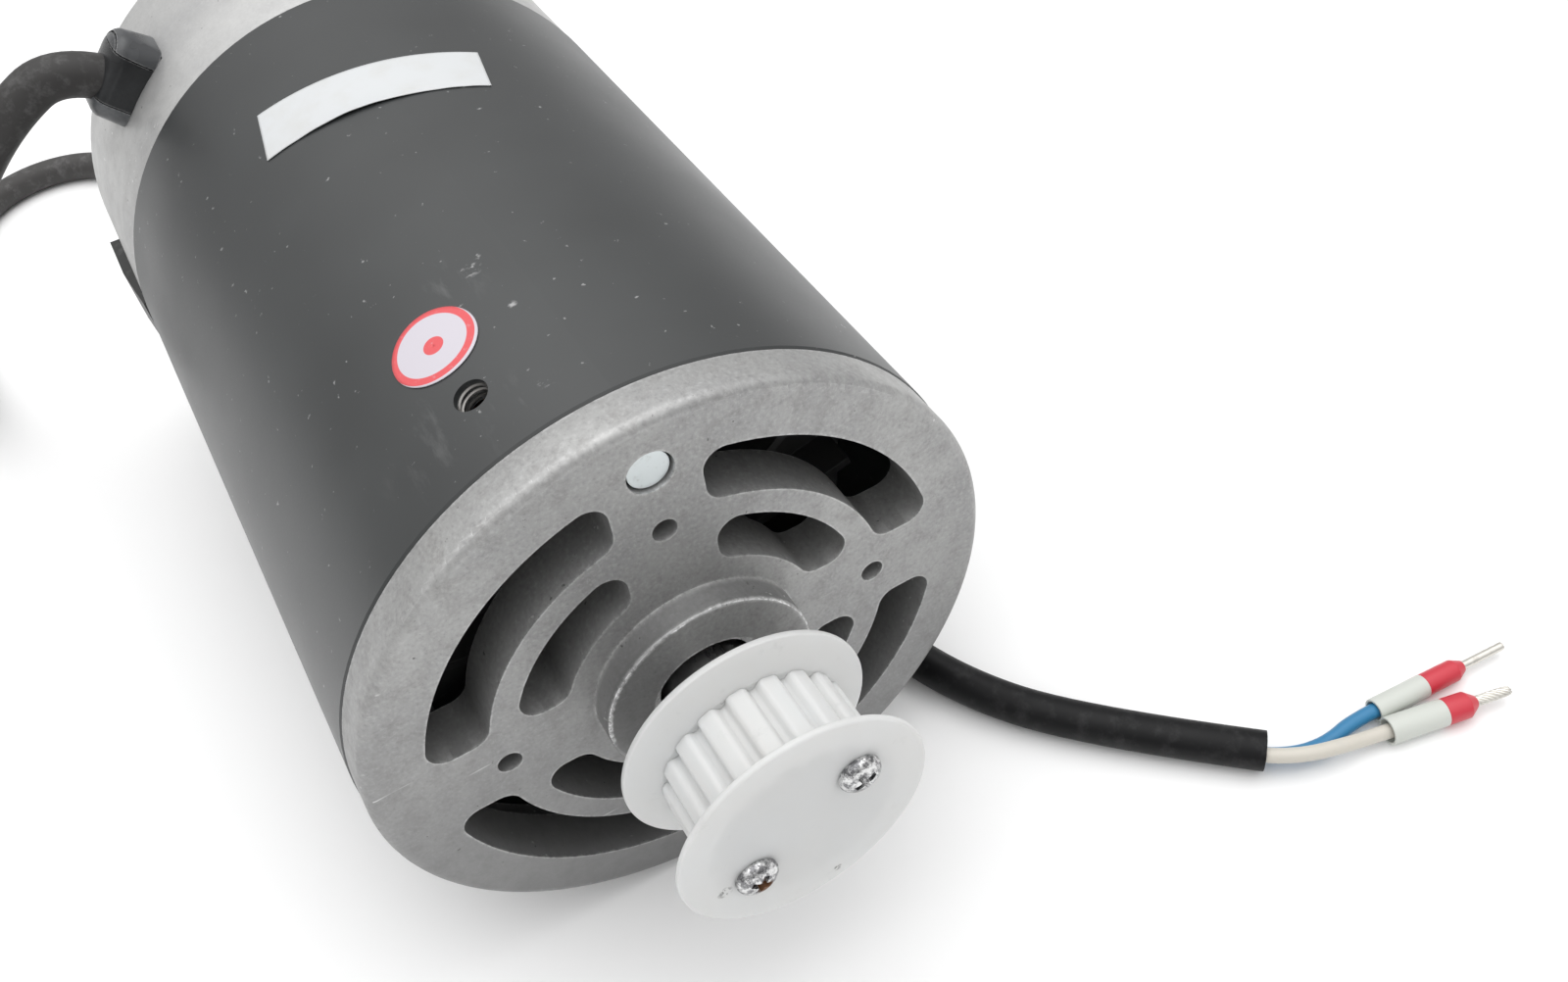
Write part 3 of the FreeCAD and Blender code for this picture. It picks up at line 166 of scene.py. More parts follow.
class Graph:
    """A material built from nodes around one Principled shader."""

    def __init__(self, name, **sockets):
        self.material = bpy.data.materials.new(name)
        self.material.use_nodes = True
        self.tree = self.material.node_tree
        self.shader = self.tree.nodes["Principled BSDF"]
        self.set(**sockets)

    def set(self, **sockets):
        for name, value in sockets.items():
            self.feed(self.shader.inputs[name.replace("_", " ")], value)

    def feed(self, socket, value):
        if isinstance(value, bpy.types.NodeSocket):
            self.tree.links.new(value, socket)
        else:
            socket.default_value = value

    def add(self, kind, fields=None, **sockets):
        node = self.tree.nodes.new("ShaderNode" + kind)
        for name, value in (fields or {}).items():
            setattr(node, name, value)
        for name, value in sockets.items():
            self.feed(node.inputs[name.replace("_", " ")], value)
        return node

    def place(self):
        return self.add("TexCoord").outputs["Object"]

    def axes(self):
        split = self.add("SeparateXYZ", Vector=self.place())
        return split.outputs["X"], split.outputs["Y"], split.outputs["Z"]

    def math(self, operation, *values, clamp=False):
        node = self.add("Math", {"operation": operation, "use_clamp": clamp})
        for socket, value in zip(node.inputs, values):
            self.feed(socket, value)
        return node.outputs[0]

    def noise(self, scale, detail=4, roughness=0.55, where=None):
        return self.add("TexNoise", Vector=where or self.place(), Scale=scale, Detail=detail,
                        Roughness=roughness).outputs["Fac"]

    def stretched(self, x, y, z):
        return self.add("Mapping", Vector=self.place(), Scale=(x, y, z)).outputs["Vector"]

    def band(self, value, low, high, to_low=0.0, to_high=1.0):
        """Map one range of a value to another, clamped."""
        return self.add("MapRange", Value=value, From_Min=low, From_Max=high, To_Min=to_low,
                        To_Max=to_high).outputs["Result"]

    def mix(self, factor, first, second):
        node = self.add("Mix", {"data_type": "RGBA"})
        self.feed(node.inputs[0], factor)
        self.feed(node.inputs[6], first)
        self.feed(node.inputs[7], second)
        return node.outputs[2]

    def near(self, centre):
        """Distance in millimetres from a point of the object."""
        gap = self.add("VectorMath", {"operation": "DISTANCE"})
        self.feed(gap.inputs[0], self.place())
        self.feed(gap.inputs[1], tuple(value * MM for value in centre))
        return self.math("MULTIPLY", gap.outputs["Value"], 1 / MM)

    def bump(self, height, strength, distance):
        self.set(Normal=self.add("Bump", Height=height, Strength=strength,
                                 Distance=distance * MM).outputs["Normal"])

    def edges(self, radius):
        """1 on flat stretches, falling where an edge is within the radius."""
        soft = self.add("Bevel", {"samples": 6}, Radius=radius * MM).outputs["Normal"]
        true = self.add("NewGeometry").outputs["True Normal"]
        return self.dot(soft, true)

    def dot(self, first, second):
        node = self.add("VectorMath", {"operation": "DOT_PRODUCT"})
        self.feed(node.inputs[0], first)
        self.feed(node.inputs[1], second)
        return node.outputs["Value"]


def grey(level, tint=(1, 1, 1)):
    return (level * tint[0], level * tint[1], level * tint[2], 1)


def scratches(g, scale, threshold):
    """Sparse short thin lines, leaning two ways across the face."""
    lines = []
    for lean in (0.5, 2.3):
        drawn_out = g.add("Mapping", Vector=g.place(), Rotation=(lean, 0, 0), Scale=(1, 0.07, 1))
        streaks = g.noise(scale, 1, 0.5, drawn_out.outputs["Vector"])
        lines.append(g.band(streaks, threshold, threshold + 0.03))
    return g.math("MAXIMUM", *lines)


def spots(g, places):
    """1 inside any of the (x, clock, radius) places on the casing, fading at their rims."""
    total = 0.0
    for x, clock, radius in places:
        turn = math.radians(clock)
        away = g.near((x, -CASING_R * math.sin(turn), CASING_R * math.cos(turn)))
        total = g.math("MAXIMUM", total, g.band(away, radius, 0.3 * radius))
    return total


def casing_paint():
    """Satin black paint with a fine texture, pale scuffs and faint streaks."""
    g = Graph("casing_paint", Specular_IOR_Level=0.75)
    cloud = g.noise(30, 3)
    fine = g.noise(2500, 2)
    bluish = (0.94, 1.02, 1.04)
    base = g.mix(g.band(cloud, 0.3, 0.7), grey(0.025, bluish), grey(0.036, bluish))
    crisp = g.noise(750, 5, 0.75, g.stretched(1, 0.6, 0.6))
    scuffed = g.math("MULTIPLY", g.band(crisp, 0.55, 0.62), spots(g, SCUFFS))
    flecks = g.math("MULTIPLY", g.band(g.noise(620, 3, 0.6), 0.7, 0.74), 0.6)
    rubbing_and_edge_highlight = g.math("MULTIPLY", g.band(g.noise(260, 5, 0.7, g.stretched(0.3, 1, 1)), 0.55, 0.7),
                    g.math("MULTIPLY", spots(g, RUBBED), 0.12))
    pale = g.math("MAXIMUM", g.math("MAXIMUM", scuffed, flecks), rubbing_and_edge_highlight, clamp=True)
    g.set(Base_Color=g.mix(pale, base, grey(0.34)),
          Roughness=g.math("ADD", g.band(cloud, 0.3, 0.7, 0.34, 0.42), g.math("MULTIPLY", fine, 0.05)))
    g.bump(fine, 0.25, 0.02)
    return g.material


def cast_aluminium(name, level, grain, wear, shade, mottle):
    """Matt cast metal: fine grain, dull patches, bright worn edges, scratches and dark pits.

    The side of the boss has painted shade, its face is darker towards -Y, and painted shade darkens the
    casting low down and towards -Y.
    """
    g = Graph(name, Metallic=0.7)
    x, y, z = g.axes()
    cloud, fine, mottled = g.noise(45, 5, 0.65), g.noise(1500, 4, 0.65), g.noise(300, 5, 0.65)
    base = g.mix(g.band(cloud, 0.32, 0.68), grey(level * 0.84), grey(level * 1.08, (1, 1, 0.985)))
    base = g.mix(g.band(mottled, 0.48, 0.68, 0, mottle), base, grey(level * 0.6, (1.04, 1, 0.97)))
    base = g.mix(g.band(fine, 0.52, 0.68, 0, mottle), base, grey(level * 1.45))
    base = g.mix(g.band(fine, 0.46, 0.32, 0, mottle), base, grey(level * 0.5))

    # painted shade: the casting is darkened towards the bottom and the -Y side, by the shade amount
    lean = g.math("MULTIPLY_ADD", y, 0.35, z)
    low = g.math("MULTIPLY", g.band(lean, 20 * MM, -50 * MM), shade)
    base = g.mix(low, base, grey(level * 0.55))
    # painted shade on the side of the boss, between the plate and the boss face
    above_plate = g.band(x, 0.4 * MM, 1 * MM)
    below_face = g.band(x, (BOSS_FACE - 0.3) * MM, (BOSS_FACE - 0.9) * MM)
    painted_boss_side_shade = g.math("MULTIPLY", above_plate, below_face)
    base = g.mix(g.math("MULTIPLY", painted_boss_side_shade, 0.55), base, grey(level * 0.5))
    boss = g.band(x, (BOSS_FACE - 1.25) * MM, (BOSS_FACE - 0.55) * MM)
    # the boss face is darker towards -Y
    boss_face_dark_side = g.math("MULTIPLY", boss, g.band(y, -2 * MM, -13 * MM, 0, shade * 0.6))
    base = g.mix(boss_face_dark_side, base, grey(level * 0.45))

    sparkle = g.band(g.noise(900, 5, 0.8), 0.44, 0.54)
    worn = g.math("MULTIPLY", g.band(g.edges(0.7), 0.996, 0.93), sparkle)
    worn = g.math("MULTIPLY", worn, g.band(boss, 0, 1, 0.35 * wear, wear))
    lines = g.math("MULTIPLY", scratches(g, 1100, 0.74), g.band(g.noise(60, 2), 0.5, 0.6))
    bright = g.math("MAXIMUM", worn, g.math("MULTIPLY", lines, 0.6))
    pits = g.math("MULTIPLY", g.band(g.noise(800, 2), 0.73, 0.77), 0.7)
    base = g.mix(pits, g.mix(bright, base, grey(min(level * 2.2, 0.92))), grey(0.05))
    matt = g.band(mottled, 0.3, 0.7, 0.44, 0.6)
    g.set(Base_Color=base, Roughness=g.math("SUBTRACT", matt, g.math("MULTIPLY", bright, 0.18)))
    g.bump(g.math("ADD", g.math("MULTIPLY", fine, 0.6), mottled), grain, 0.08)
    return g.material


def metal(name, colour, roughness, spot):
    """Bare or plated metal with faint streaks and dull spots."""
    tarnish = (0.3, 0.28, 0.25, 1)
    g = Graph(name, Metallic=1.0)
    streak = g.noise(900, 3, 0.6, g.stretched(0.15, 1, 1))
    dull = g.band(g.noise(500, 4, 0.7), 0.55, 0.72)
    g.set(Base_Color=g.mix(g.math("MULTIPLY", dull, spot), colour, tarnish),
          Roughness=g.math("ADD", g.band(streak, 0.3, 0.7, roughness * 0.8, roughness * 1.2),
                           g.math("MULTIPLY", dull, 0.15 * spot)))
    g.bump(streak, 0.08, 0.03)
    return g.material


def screw_plating(rust_place):
    """Dull mirror plating, dented all over, with painted dark reflections in patches and rust in one recess.
    """
    g = Graph("chrome", Metallic=1.0)
    dents, grime_and_dark_reflection = g.noise(620, 4, 0.6), g.noise(900, 5, 0.7)
    # painted dark reflections: patches where the plating's colour is darkened
    dark = g.band(grime_and_dark_reflection, 0.44, 0.56, 0, 0.9)
    base = g.mix(dark, grey(0.7), grey(0.13, (1, 1, 1.06)))
    rust = g.math("MULTIPLY", g.band(g.near(rust_place), 1.5, 0.9), g.band(grime_and_dark_reflection, 0.28, 0.4))
    g.set(Base_Color=g.mix(rust, base, (0.13, 0.055, 0.02, 1)), Metallic=g.math("SUBTRACT", 1.0, rust),
          Roughness=g.math("ADD", g.band(dents, 0.3, 0.7, 0.12, 0.24), g.math("MULTIPLY", rust, 0.5)))
    g.bump(dents, 0.7, 0.35)
    return g.material


def relief_rubber(name, level, dust):
    """Black moulding: painted highlights along its edges, broken up by specks, and greyish dust in patches.
    """
    g = Graph(name, Specular_IOR_Level=0.25 + 0.3 * dust)
    patch, speck = g.noise(150, 2), g.noise(1300, 4, 0.7)
    # painted highlight along the edges, broken up by speck noise
    rubbing_and_edge_highlight = g.math("MULTIPLY", g.band(g.edges(0.3), 0.99, 0.93), g.band(speck, 0.42, 0.54, 0.2, 1))
    dusty = g.math("MULTIPLY", g.band(patch, 0.4, 0.62), g.band(speck, 0.3, 0.6, 0.4, 1))
    base = g.mix(g.math("MULTIPLY", dusty, dust), grey(level, (0.96, 1, 1.06)), grey(0.16, (0.96, 1, 1.04)))
    g.set(Base_Color=g.mix(g.math("MULTIPLY", rubbing_and_edge_highlight, 0.6), base, grey(0.3)),
          Roughness=g.band(patch, 0.3, 0.7, 0.24, 0.36))
    g.bump(g.noise(1400, 3), 0.15, 0.05)
    return g.material


def pulley_plastic(name, level, marks):
    """Translucent white moulding with faint clouding and a few dark marks."""
    g = Graph(name, Subsurface_Weight=0.35, Subsurface_Scale=0.006)
    g.shader.inputs["Subsurface Radius"].default_value = (1, 0.97, 0.93)
    cloud = g.noise(90, 4)
    base = g.mix(g.band(cloud, 0.3, 0.7), grey(level * 0.97, (1, 1, 0.985)), grey(level, (0.985, 1, 1)))
    total = 0.0
    for centre, radius in marks:
        total = g.math("MAXIMUM", total, g.band(g.near(centre), radius, 0.5 * radius))
    grime_and_dark_reflection = g.math("MULTIPLY", total, g.band(g.noise(1700, 3, 0.7), 0.46, 0.56))
    dust = g.math("MULTIPLY", g.band(g.noise(240, 5, 0.7), 0.62, 0.75), 0.12)
    base = g.mix(g.math("MAXIMUM", grime_and_dark_reflection, dust), base, grey(0.14))
    g.set(Base_Color=base, Roughness=g.band(cloud, 0.3, 0.7, 0.4, 0.5))
    g.bump(g.noise(1500, 3), 0.08, 0.04)
    return g.material


def cable_jacket():
    """Black rubber, greyed and dusty behind the motor and deep black along the floor."""
    g = Graph("cable_black", Specular_IOR_Level=0.24)
    x, _, _ = g.axes()
    cloud, fine = g.noise(120, 4), g.noise(1500, 3)
    behind = g.band(x, -100 * MM, -160 * MM)
    base = g.mix(behind, grey(0.002, (1, 1, 1.3)), grey(0.055, (1.04, 1, 0.98)))
    dust = g.math("MULTIPLY", g.band(g.noise(300, 5, 0.7), 0.5, 0.75), g.band(behind, 0, 1, 0.05, 0.2))
    g.set(Base_Color=g.mix(dust, base, grey(0.4)), Roughness=g.band(cloud, 0.3, 0.7, 0.42, 0.52))
    g.bump(fine, 0.12, 0.04)
    return g.material


def moulded(name, colour, roughness, dust=0.0):
    """Moulded plastic or rubber: faint texture, uneven gloss and a little dust."""
    g = Graph(name)
    cloud, fine = g.noise(120, 4), g.noise(1500, 3)
    patch = g.band(g.noise(260, 4, 0.65), 0.58, 0.75)
    g.set(Base_Color=g.mix(g.math("MULTIPLY", patch, dust), colour, grey(0.45)),
          Roughness=g.band(cloud, 0.3, 0.7, roughness * 0.88, roughness * 1.12))
    g.bump(fine, 0.12, 0.04)
    return g.material


def paper(name, base):
    """White vinyl label with a faint sheet texture and yellowed patches."""
    g = Graph(name, Roughness=0.45)
    patch = g.band(g.noise(180, 4, 0.6), 0.45, 0.75)
    g.set(Base_Color=g.mix(g.math("MULTIPLY", patch, 0.25), base, (0.48, 0.46, 0.41, 1)))
    g.bump(g.noise(2600, 3), 0.1, 0.02)
    return g.material


def sticker_print(centre, ring_centre):
    """White vinyl disc with a red ring printed slightly off centre, and a plain dot."""
    g = Graph("sticker", Roughness=0.42)
    away, shifted = g.near(centre), g.near(ring_centre)
    ring = g.math("MULTIPLY", g.band(shifted, 5.25, 5.33), g.band(shifted, 6.45, 6.4))
    dot = g.band(away, 1.55, 1.48)
    worn = g.band(g.noise(900, 4, 0.7), 0.3, 0.4, 0.75, 1)
    ink = g.math("MULTIPLY", g.math("MAXIMUM", ring, dot), worn)
    g.set(Base_Color=g.mix(ink, (0.57, 0.54, 0.59, 1), (0.66, 0.09, 0.1, 1)))
    g.bump(g.noise(2600, 3), 0.1, 0.02)
    return g.material


# places in millimetres: (x, clock, radius) on the casing, (point, radius) or a point elsewhere
SCUFFS = ((-40.6, 6.7, 1.9), (-42.5, 5.2, 1.2), (-97.2, 33, 1.1), (-43.8, -7.6, 0.9), (-13.5, 6.9, 1.6),
          (-30, 4.5, 0.8), (-70, 38, 0.7), (-58, 30, 0.6), (-78, -12, 0.6))
RUBBED = ((-18, 26, 10), (-40, 10, 7), (-12, 12, 8))
FACE_MARKS = (((31, -13.2, -5.6), 1.3), ((31, 3.5, -16.2), 0.8))
TOOTH_MARKS = (((16.9, -3.1, 13.5), 0.45), ((16.9, -4.9, 12.3), 0.5), ((16.9, -13.5, 2.1), 0.5))
RUST_PLACE = (32.4, -8.1, -6.2)
STICKER_CENTRE, RING_CENTRE = (-31.3, -15.35, 47.7), (-31.75, -15.55, 47.6)
BOSS_FACE = 4.75

MATERIALS = {
    "casing_paint": casing_paint(),
    "front_cast": cast_aluminium("front_cast", 0.39, grain=0.4, wear=1.0, shade=0.95, mottle=0.34),
    "rear_cast": cast_aluminium("rear_cast", 0.56, grain=0.3, wear=0.2, shade=0.2, mottle=0.12),
    "zinc": metal("zinc", (0.78, 0.83, 0.84, 1), 0.4, 0.3),
    "chrome": screw_plating(RUST_PLACE),
    "steel": metal("steel", (0.55, 0.55, 0.55, 1), 0.3, 0.3),
    "laminations": metal("laminations", (0.2, 0.2, 0.21, 1), 0.5, 0.5),
    "copper": metal("copper", (0.62, 0.28, 0.14, 1), 0.3, 0.4),
    "brass": metal("brass", (0.7, 0.52, 0.22, 1), 0.35, 0.3),
    "tinned": metal("tinned", (0.7, 0.68, 0.63, 1), 0.38, 0.5),
    "ferrite": moulded("ferrite", grey(0.06), 0.7),
    "carbon": moulded("carbon", grey(0.03), 0.6),
    "seal_rubber": moulded("seal_rubber", grey(0.004), 0.35),
    "black_moulding": moulded("black_moulding", grey(0.018), 0.42, dust=0.12),
    "fan_plastic": moulded("fan_plastic", grey(0.03), 0.45),
    "insulation": moulded("insulation", (0.5, 0.42, 0.25, 1), 0.6),
    "pulley_white": pulley_plastic("pulley_white", 0.66, TOOTH_MARKS),
    "cable_black": cable_jacket(),
    "wire_blue": moulded("wire_blue", (0.03, 0.19, 0.37, 1), 0.4),
    "wire_white": moulded("wire_white", (0.57, 0.54, 0.48, 1), 0.42, dust=0.4),
    "collar_white": moulded("collar_white", (0.56, 0.58, 0.54, 1), 0.45),
    "band_red": moulded("band_red", (0.54, 0.035, 0.055, 1), 0.38),
    "lead_red": moulded("lead_red", (0.4, 0.02, 0.02, 1), 0.45),
    "label_white": paper("label_white", (0.6, 0.615, 0.625, 1)),
    "pulley_face": pulley_plastic("pulley_face", 0.62, FACE_MARKS),
    "relief_black": relief_rubber("relief_black", 0.05, 0.6),
    "relief_dark": relief_rubber("relief_dark", 0.016, 0.08),
    "thread_steel": metal("thread_steel", (0.3, 0.29, 0.28, 1), 0.4, 0.5),
    "sticker": sticker_print(STICKER_CENTRE, RING_CENTRE),
}

NODE_MATERIALS = {
    "motor_casing": "casing_paint", "front_end_bell": "front_cast", "rear_end_bell": "rear_cast",
    "left_magnet": "ferrite", "right_magnet": "ferrite", "tie_bolts": "zinc", "tie_bolt_washers": "zinc",
    "pulley_screws": "chrome", "shaft_seal": "seal_rubber", "cooling_fan": "fan_plastic",
    "core_insulators": "insulation", "slot_wedges": "insulation", "commutator_hub": "insulation",
    "rotor_windings": "copper", "commutator_bars": "copper", "rotor_core": "laminations",
    "pulley_hub": "pulley_white", "pulley_flange": "pulley_white", "cable_sleeve": "cable_black",
    "strain_relief_body": "black_moulding", "strain_relief_wedge": "black_moulding",
    "brush_leads": "lead_red", "rating_label": "label_white", "round_sticker": "label_white",
    "blue_ferrule_collar": "collar_white", "white_ferrule_collar": "collar_white",
    "blue_ferrule_band": "band_red", "white_ferrule_band": "band_red",
    "blue_ferrule_pin": "tinned", "white_ferrule_pin": "tinned",
}
for side in ("left", "right"):
    NODE_MATERIALS["brush_holder_" + side] = "black_moulding"
    NODE_MATERIALS["brush_cap_" + side] = "black_moulding"
    NODE_MATERIALS["brush_guide_" + side] = "brass"
    NODE_MATERIALS["carbon_brush_" + side] = "carbon"


def paint(piece, name):
    """Give every material slot of a piece one material."""
    slots = piece.data.materials
    for i in range(len(slots)):
        slots[i] = MATERIALS[name]
    if not len(slots):
        slots.append(MATERIALS[name])


for name, node in nodes.items():
    paint(node, NODE_MATERIALS.get(name, "steel"))
paint(supply_cable, "cable_black")
paint(blue_wire, "wire_blue")
paint(white_wire, "wire_white")


# ---- shape helpers, in millimetres ----

def rounded(corners, steps=5):
    """Closed outline in which each (u, v, radius) corner becomes an arc."""
    outline = []
    for i, (u, v, radius) in enumerate(corners):
        corner = Vector((u, v))
        before = Vector(corners[i - 1][:2]) - corner
        after = Vector(corners[(i + 1) % len(corners)][:2]) - corner
        if not radius:
            outline.append(corner)
            continue
        half = before.angle(after) / 2
        reach = min(radius / math.tan(half), 0.49 * before.length, 0.49 * after.length)
        radius = reach * math.tan(half)
        before.normalize()
        after.normalize()
        centre = corner + (before + after).normalized() * (radius / math.sin(half))
        start, end = corner + before * reach - centre, corner + after * reach - centre
        sweep_angle = math.pi - 2 * half
        for k in range(steps + 1):
            share = k / steps
            outline.append(centre + (start * math.sin((1 - share) * sweep_angle)
                                     + end * math.sin(share * sweep_angle)) / math.sin(sweep_angle))
    return outline


def solid(name, rings, closed_path=False):
    """A mesh through rings of points that all have the same count."""
    count = len(rings[0])
    verts = [Vector(point) * MM for ring in rings for point in ring]
    faces = []
    for i in range(len(rings) if closed_path else len(rings) - 1):
        first, second = i * count, (i + 1) % len(rings) * count
        faces += [(first + k, first + (k + 1) % count, second + (k + 1) % count, second + k)
                  for k in range(count)]
    if not closed_path:
        faces += [tuple(range(count)), tuple(range(len(verts) - count, len(verts)))]
    mesh = bpy.data.meshes.new(name)
    mesh.from_pydata(verts, [], faces)
    shape = bmesh.new()
    shape.from_mesh(mesh)
    bmesh.ops.remove_doubles(shape, verts=shape.verts, dist=1e-7)
    bmesh.ops.recalc_face_normals(shape, faces=shape.faces)
    shape.to_mesh(mesh)
    shape.free()
    return mesh


def smooth(mesh, angle=35):
    """Smooth shading, with edges sharper than the angle left hard."""
    mesh.shade_smooth()
    mesh.set_sharp_from_angle(angle=math.radians(angle))
    return mesh


def lathe(name, outline, segments=144):
    """Turn a closed outline of (x, radius) pairs round the X axis."""
    turns = [2 * math.pi * i / segments for i in range(segments)]
    return smooth(solid(name, [[(x, -r * math.sin(turn), r * math.cos(turn)) for x, r in outline]
                               for turn in turns], closed_path=True))


def swept(name, points, radii, sides=16, flat=1.0):
    """A round or flattened tube along points, one radius for each."""
    points = [Vector(point) for point in points]
    side = (points[1] - points[0]).orthogonal().normalized()
    rings = []
    for i, (point, radius) in enumerate(zip(points, radii)):
        heading = (points[min(i + 1, len(points) - 1)] - points[max(i - 1, 0)]).normalized()
        side = (side - heading * side.dot(heading)).normalized()
        across = heading.cross(side)
        rings.append([point + (side * math.cos(turn) + across * math.sin(turn) * flat) * radius
                      for turn in (2 * math.pi * k / sides for k in range(sides))])
    return smooth(solid(name, rings))


def merged(name, meshes):
    """One mesh out of several, left unjoined."""
    shape = bmesh.new()
    for mesh in meshes:
        shape.from_mesh(mesh)
    whole = bpy.data.meshes.new(name)
    shape.to_mesh(whole)
    shape.free()
    return whole


def moved(mesh, matrix):
    """The same mesh, moved."""
    mesh.transform(matrix)
    return mesh


def shift(x, y, z):
    return Matrix.Translation(Vector((x, y, z)) * MM)


def add_piece(name, mesh, material, node=None, body="stator"):
    """Put a mesh in the scene with one material, in place of a CAD node and riding on a body."""
    piece = bpy.data.objects.new(name, mesh)
    scene.collection.objects.link(piece)
    mesh.materials.clear()
    mesh.materials.append(MATERIALS[material])
    for polygon in mesh.polygons:
        polygon.material_index = 0
    if node:
        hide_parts(node)
    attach(piece, body)
    return piece


def soften_edges(piece, width, angle, segments=3):
    """Round the edges that turn by more than the angle."""
    bevel = piece.modifiers.new("bevel", "BEVEL")
    bevel.width = width * MM
    bevel.segments = segments
    bevel.limit_method = "ANGLE"
    bevel.angle_limit = math.radians(angle)


def clock_frame(clock):
    """Outward and sideways unit vectors at a clock angle round the shaft."""
    turn = math.radians(clock)
    return Vector((0, -math.sin(turn), math.cos(turn))), Vector((0, -math.cos(turn), -math.sin(turn)))


# ---- pulley ----

FLANGE_R, REAR_FLANGE, TEETH, FRONT_FLANGE = 19, (13.8, 14.8), (16.5, 30.1), (30, 31)
TOOTH_COUNT, TIP_R, ROOT_R, TOOTH_TURN, FLANGE_ROOT = 18, 14.3, 12.9, 5.3, 16.9
TIP_HALF, ROOT_HALF, TIP_SOFT, ROOT_SOFT = 1.1, 0.42, 0.9, 0.5
COLLAR, COLLAR_R, BORE_R, FLANGE_BORE_R = (9.5, 14.6), 9, 5.05, 5.1
SCREW_CIRCLE, SCREW_CLOCKS, RECESS_TURNS = 10, (-58, 122), (22, 57)
ON_AXIS = 0.01

hub_collar = rounded([(COLLAR[0], BORE_R, 0), (COLLAR[0], COLLAR_R, 0.5),
                      (COLLAR[1], COLLAR_R, 0), (COLLAR[1], BORE_R, 0)])
rear_disc = rounded([(REAR_FLANGE[0], FLANGE_BORE_R, 0), (REAR_FLANGE[0], FLANGE_R, 0.35),
                     (REAR_FLANGE[1], FLANGE_R, 0.35), (FLANGE_ROOT, TIP_R - 0.1, 0.2),
                     (FLANGE_ROOT, FLANGE_BORE_R, 0)])
groove_corners = ((-TIP_HALF, TIP_R, TIP_SOFT), (-ROOT_HALF, ROOT_R, ROOT_SOFT),
                  (ROOT_HALF, ROOT_R, ROOT_SOFT), (TIP_HALF, TIP_R, TIP_SOFT))
tooth_corners = []
for i in range(TOOTH_COUNT):
    turn = 2 * math.pi * i / TOOTH_COUNT + math.radians(TOOTH_TURN)
    for across, radius, soft in groove_corners:
        tooth_corners.append((across * math.cos(turn) + radius * math.sin(turn),
                              radius * math.cos(turn) - across * math.sin(turn), soft))
tooth_outline = rounded(tooth_corners)
tooth_ring = smooth(solid("teeth", [[(x, u, v) for u, v in tooth_outline] for x in TEETH]), 50)
hub_parts = [lathe("collar", hub_collar), lathe("rear_disc", rear_disc), tooth_ring]
add_piece("pulley_toothed_hub", merged("pulley_toothed_hub", hub_parts), "pulley_white",
          "pulley_hub", "rotor")

front_disc = rounded([(FRONT_FLANGE[0], ON_AXIS, 0), (FRONT_FLANGE[0], FLANGE_R, 0.25),
                      (FRONT_FLANGE[1], FLANGE_R, 0.4), (FRONT_FLANGE[1], ON_AXIS, 0)])
add_piece("pulley_front_flange", lathe("pulley_front_flange", front_disc), "pulley_face",
          "pulley_flange", "rotor")


def cross_outline(arm, half):
    """Outline of a cross with arms of a length and a half width."""
    return [(half, arm), (half, half), (arm, half), (arm, -half), (half, -half), (half, -arm),
            (-half, -arm), (-half, -half), (-arm, -half), (-arm, half), (-half, half), (-half, arm)]


# the screw's shank and dome as (x, radius), and its recess as (x, arm, half width)
SHANK = [(-11.8, ON_AXIS), (-11.8, 1.2), (-11.2, 1.44), (0, 1.44)]
DOME = [(0, 3.05), (0.15, 3.18), (0.6, 3.18), (1.1, 2.95), (1.5, 2.5), (1.83, 1.85), (2.03, 1.05),
        (2.1, ON_AXIS)]
RECESS_LEVELS = ((2.5, 1.82, 0.5), (1.9, 1.7, 0.46), (0.85, 0.95, 0.33), (0.4, 0.35, 0.22))


def pan_head(name, turn):
    """Domed head with a tapered cross recess, on a plain shank, along +X."""
    head = bpy.data.objects.new(name, lathe(name, SHANK + DOME, 64))
    crosses = [[(x, u, v) for u, v in cross_outline(arm, half)] for x, arm, half in RECESS_LEVELS]
    tool = bpy.data.objects.new("recess", solid("recess", crosses))
    for item in (head, tool):
        scene.collection.objects.link(item)
    tool.rotation_euler = (math.radians(turn), 0, 0)
    recess = head.modifiers.new("recess", "BOOLEAN")
    recess.operation = "DIFFERENCE"
    recess.solver = "EXACT"
    recess.object = tool
    bpy.context.view_layer.update()
    cut = bpy.data.meshes.new_from_object(head.evaluated_get(bpy.context.evaluated_depsgraph_get()))
    bpy.data.objects.remove(head)
    bpy.data.objects.remove(tool)
    return smooth(cut, 30)


screws = []
for clock, turn in zip(SCREW_CLOCKS, RECESS_TURNS):
    out, _ = clock_frame(clock)
    screws.append(moved(pan_head("pan_head", turn), shift(FRONT_FLANGE[1], *(out * SCREW_CIRCLE).yz)))
screw_pair = add_piece("pulley_pan_screws", smooth(merged("pulley_pan_screws", screws), 30), "chrome",
                       "pulley_screws", "rotor")
soften_edges(screw_pair, 0.08, 35, 2)


# ---- strain relief, a crowned bush in three segments ----

RELIEF_X, RELIEF_CLOCK, BELL_R = -147.5, 43, 49.8
RELIEF_SPAN, RELIEF_HALF, RELIEF_CORNERS = (-8.6, 7.4), 5.3, (5.0, 3.2)
RELIEF_SHOULDER, RELIEF_ROUND, RELIEF_NECK = 54.5, 2.1, 43.3
RELIEF_SKIRT, SEAMS, SEAM_GAP = 2.6, (-5.4, 3.9), 0.22
NECK_INSET, CROWN_INSET, CROWN_RISE, TOP_SLOPE = 0.85, 1.4, 0.12, 0.05
ROUND_STEPS, GROOVE_STEP = 6, 4
RELIEF_GROOVE = ((0.06, -0.5), (0.3, -0.5), (0.36, 0.1))

relief_out, relief_side = clock_frame(RELIEF_CLOCK)


def relief_point(x, t, h):
    """A point from its x, its place across the bush and its height from the shaft axis."""
    return Vector((x, 0, 0)) + relief_out * h + relief_side * t


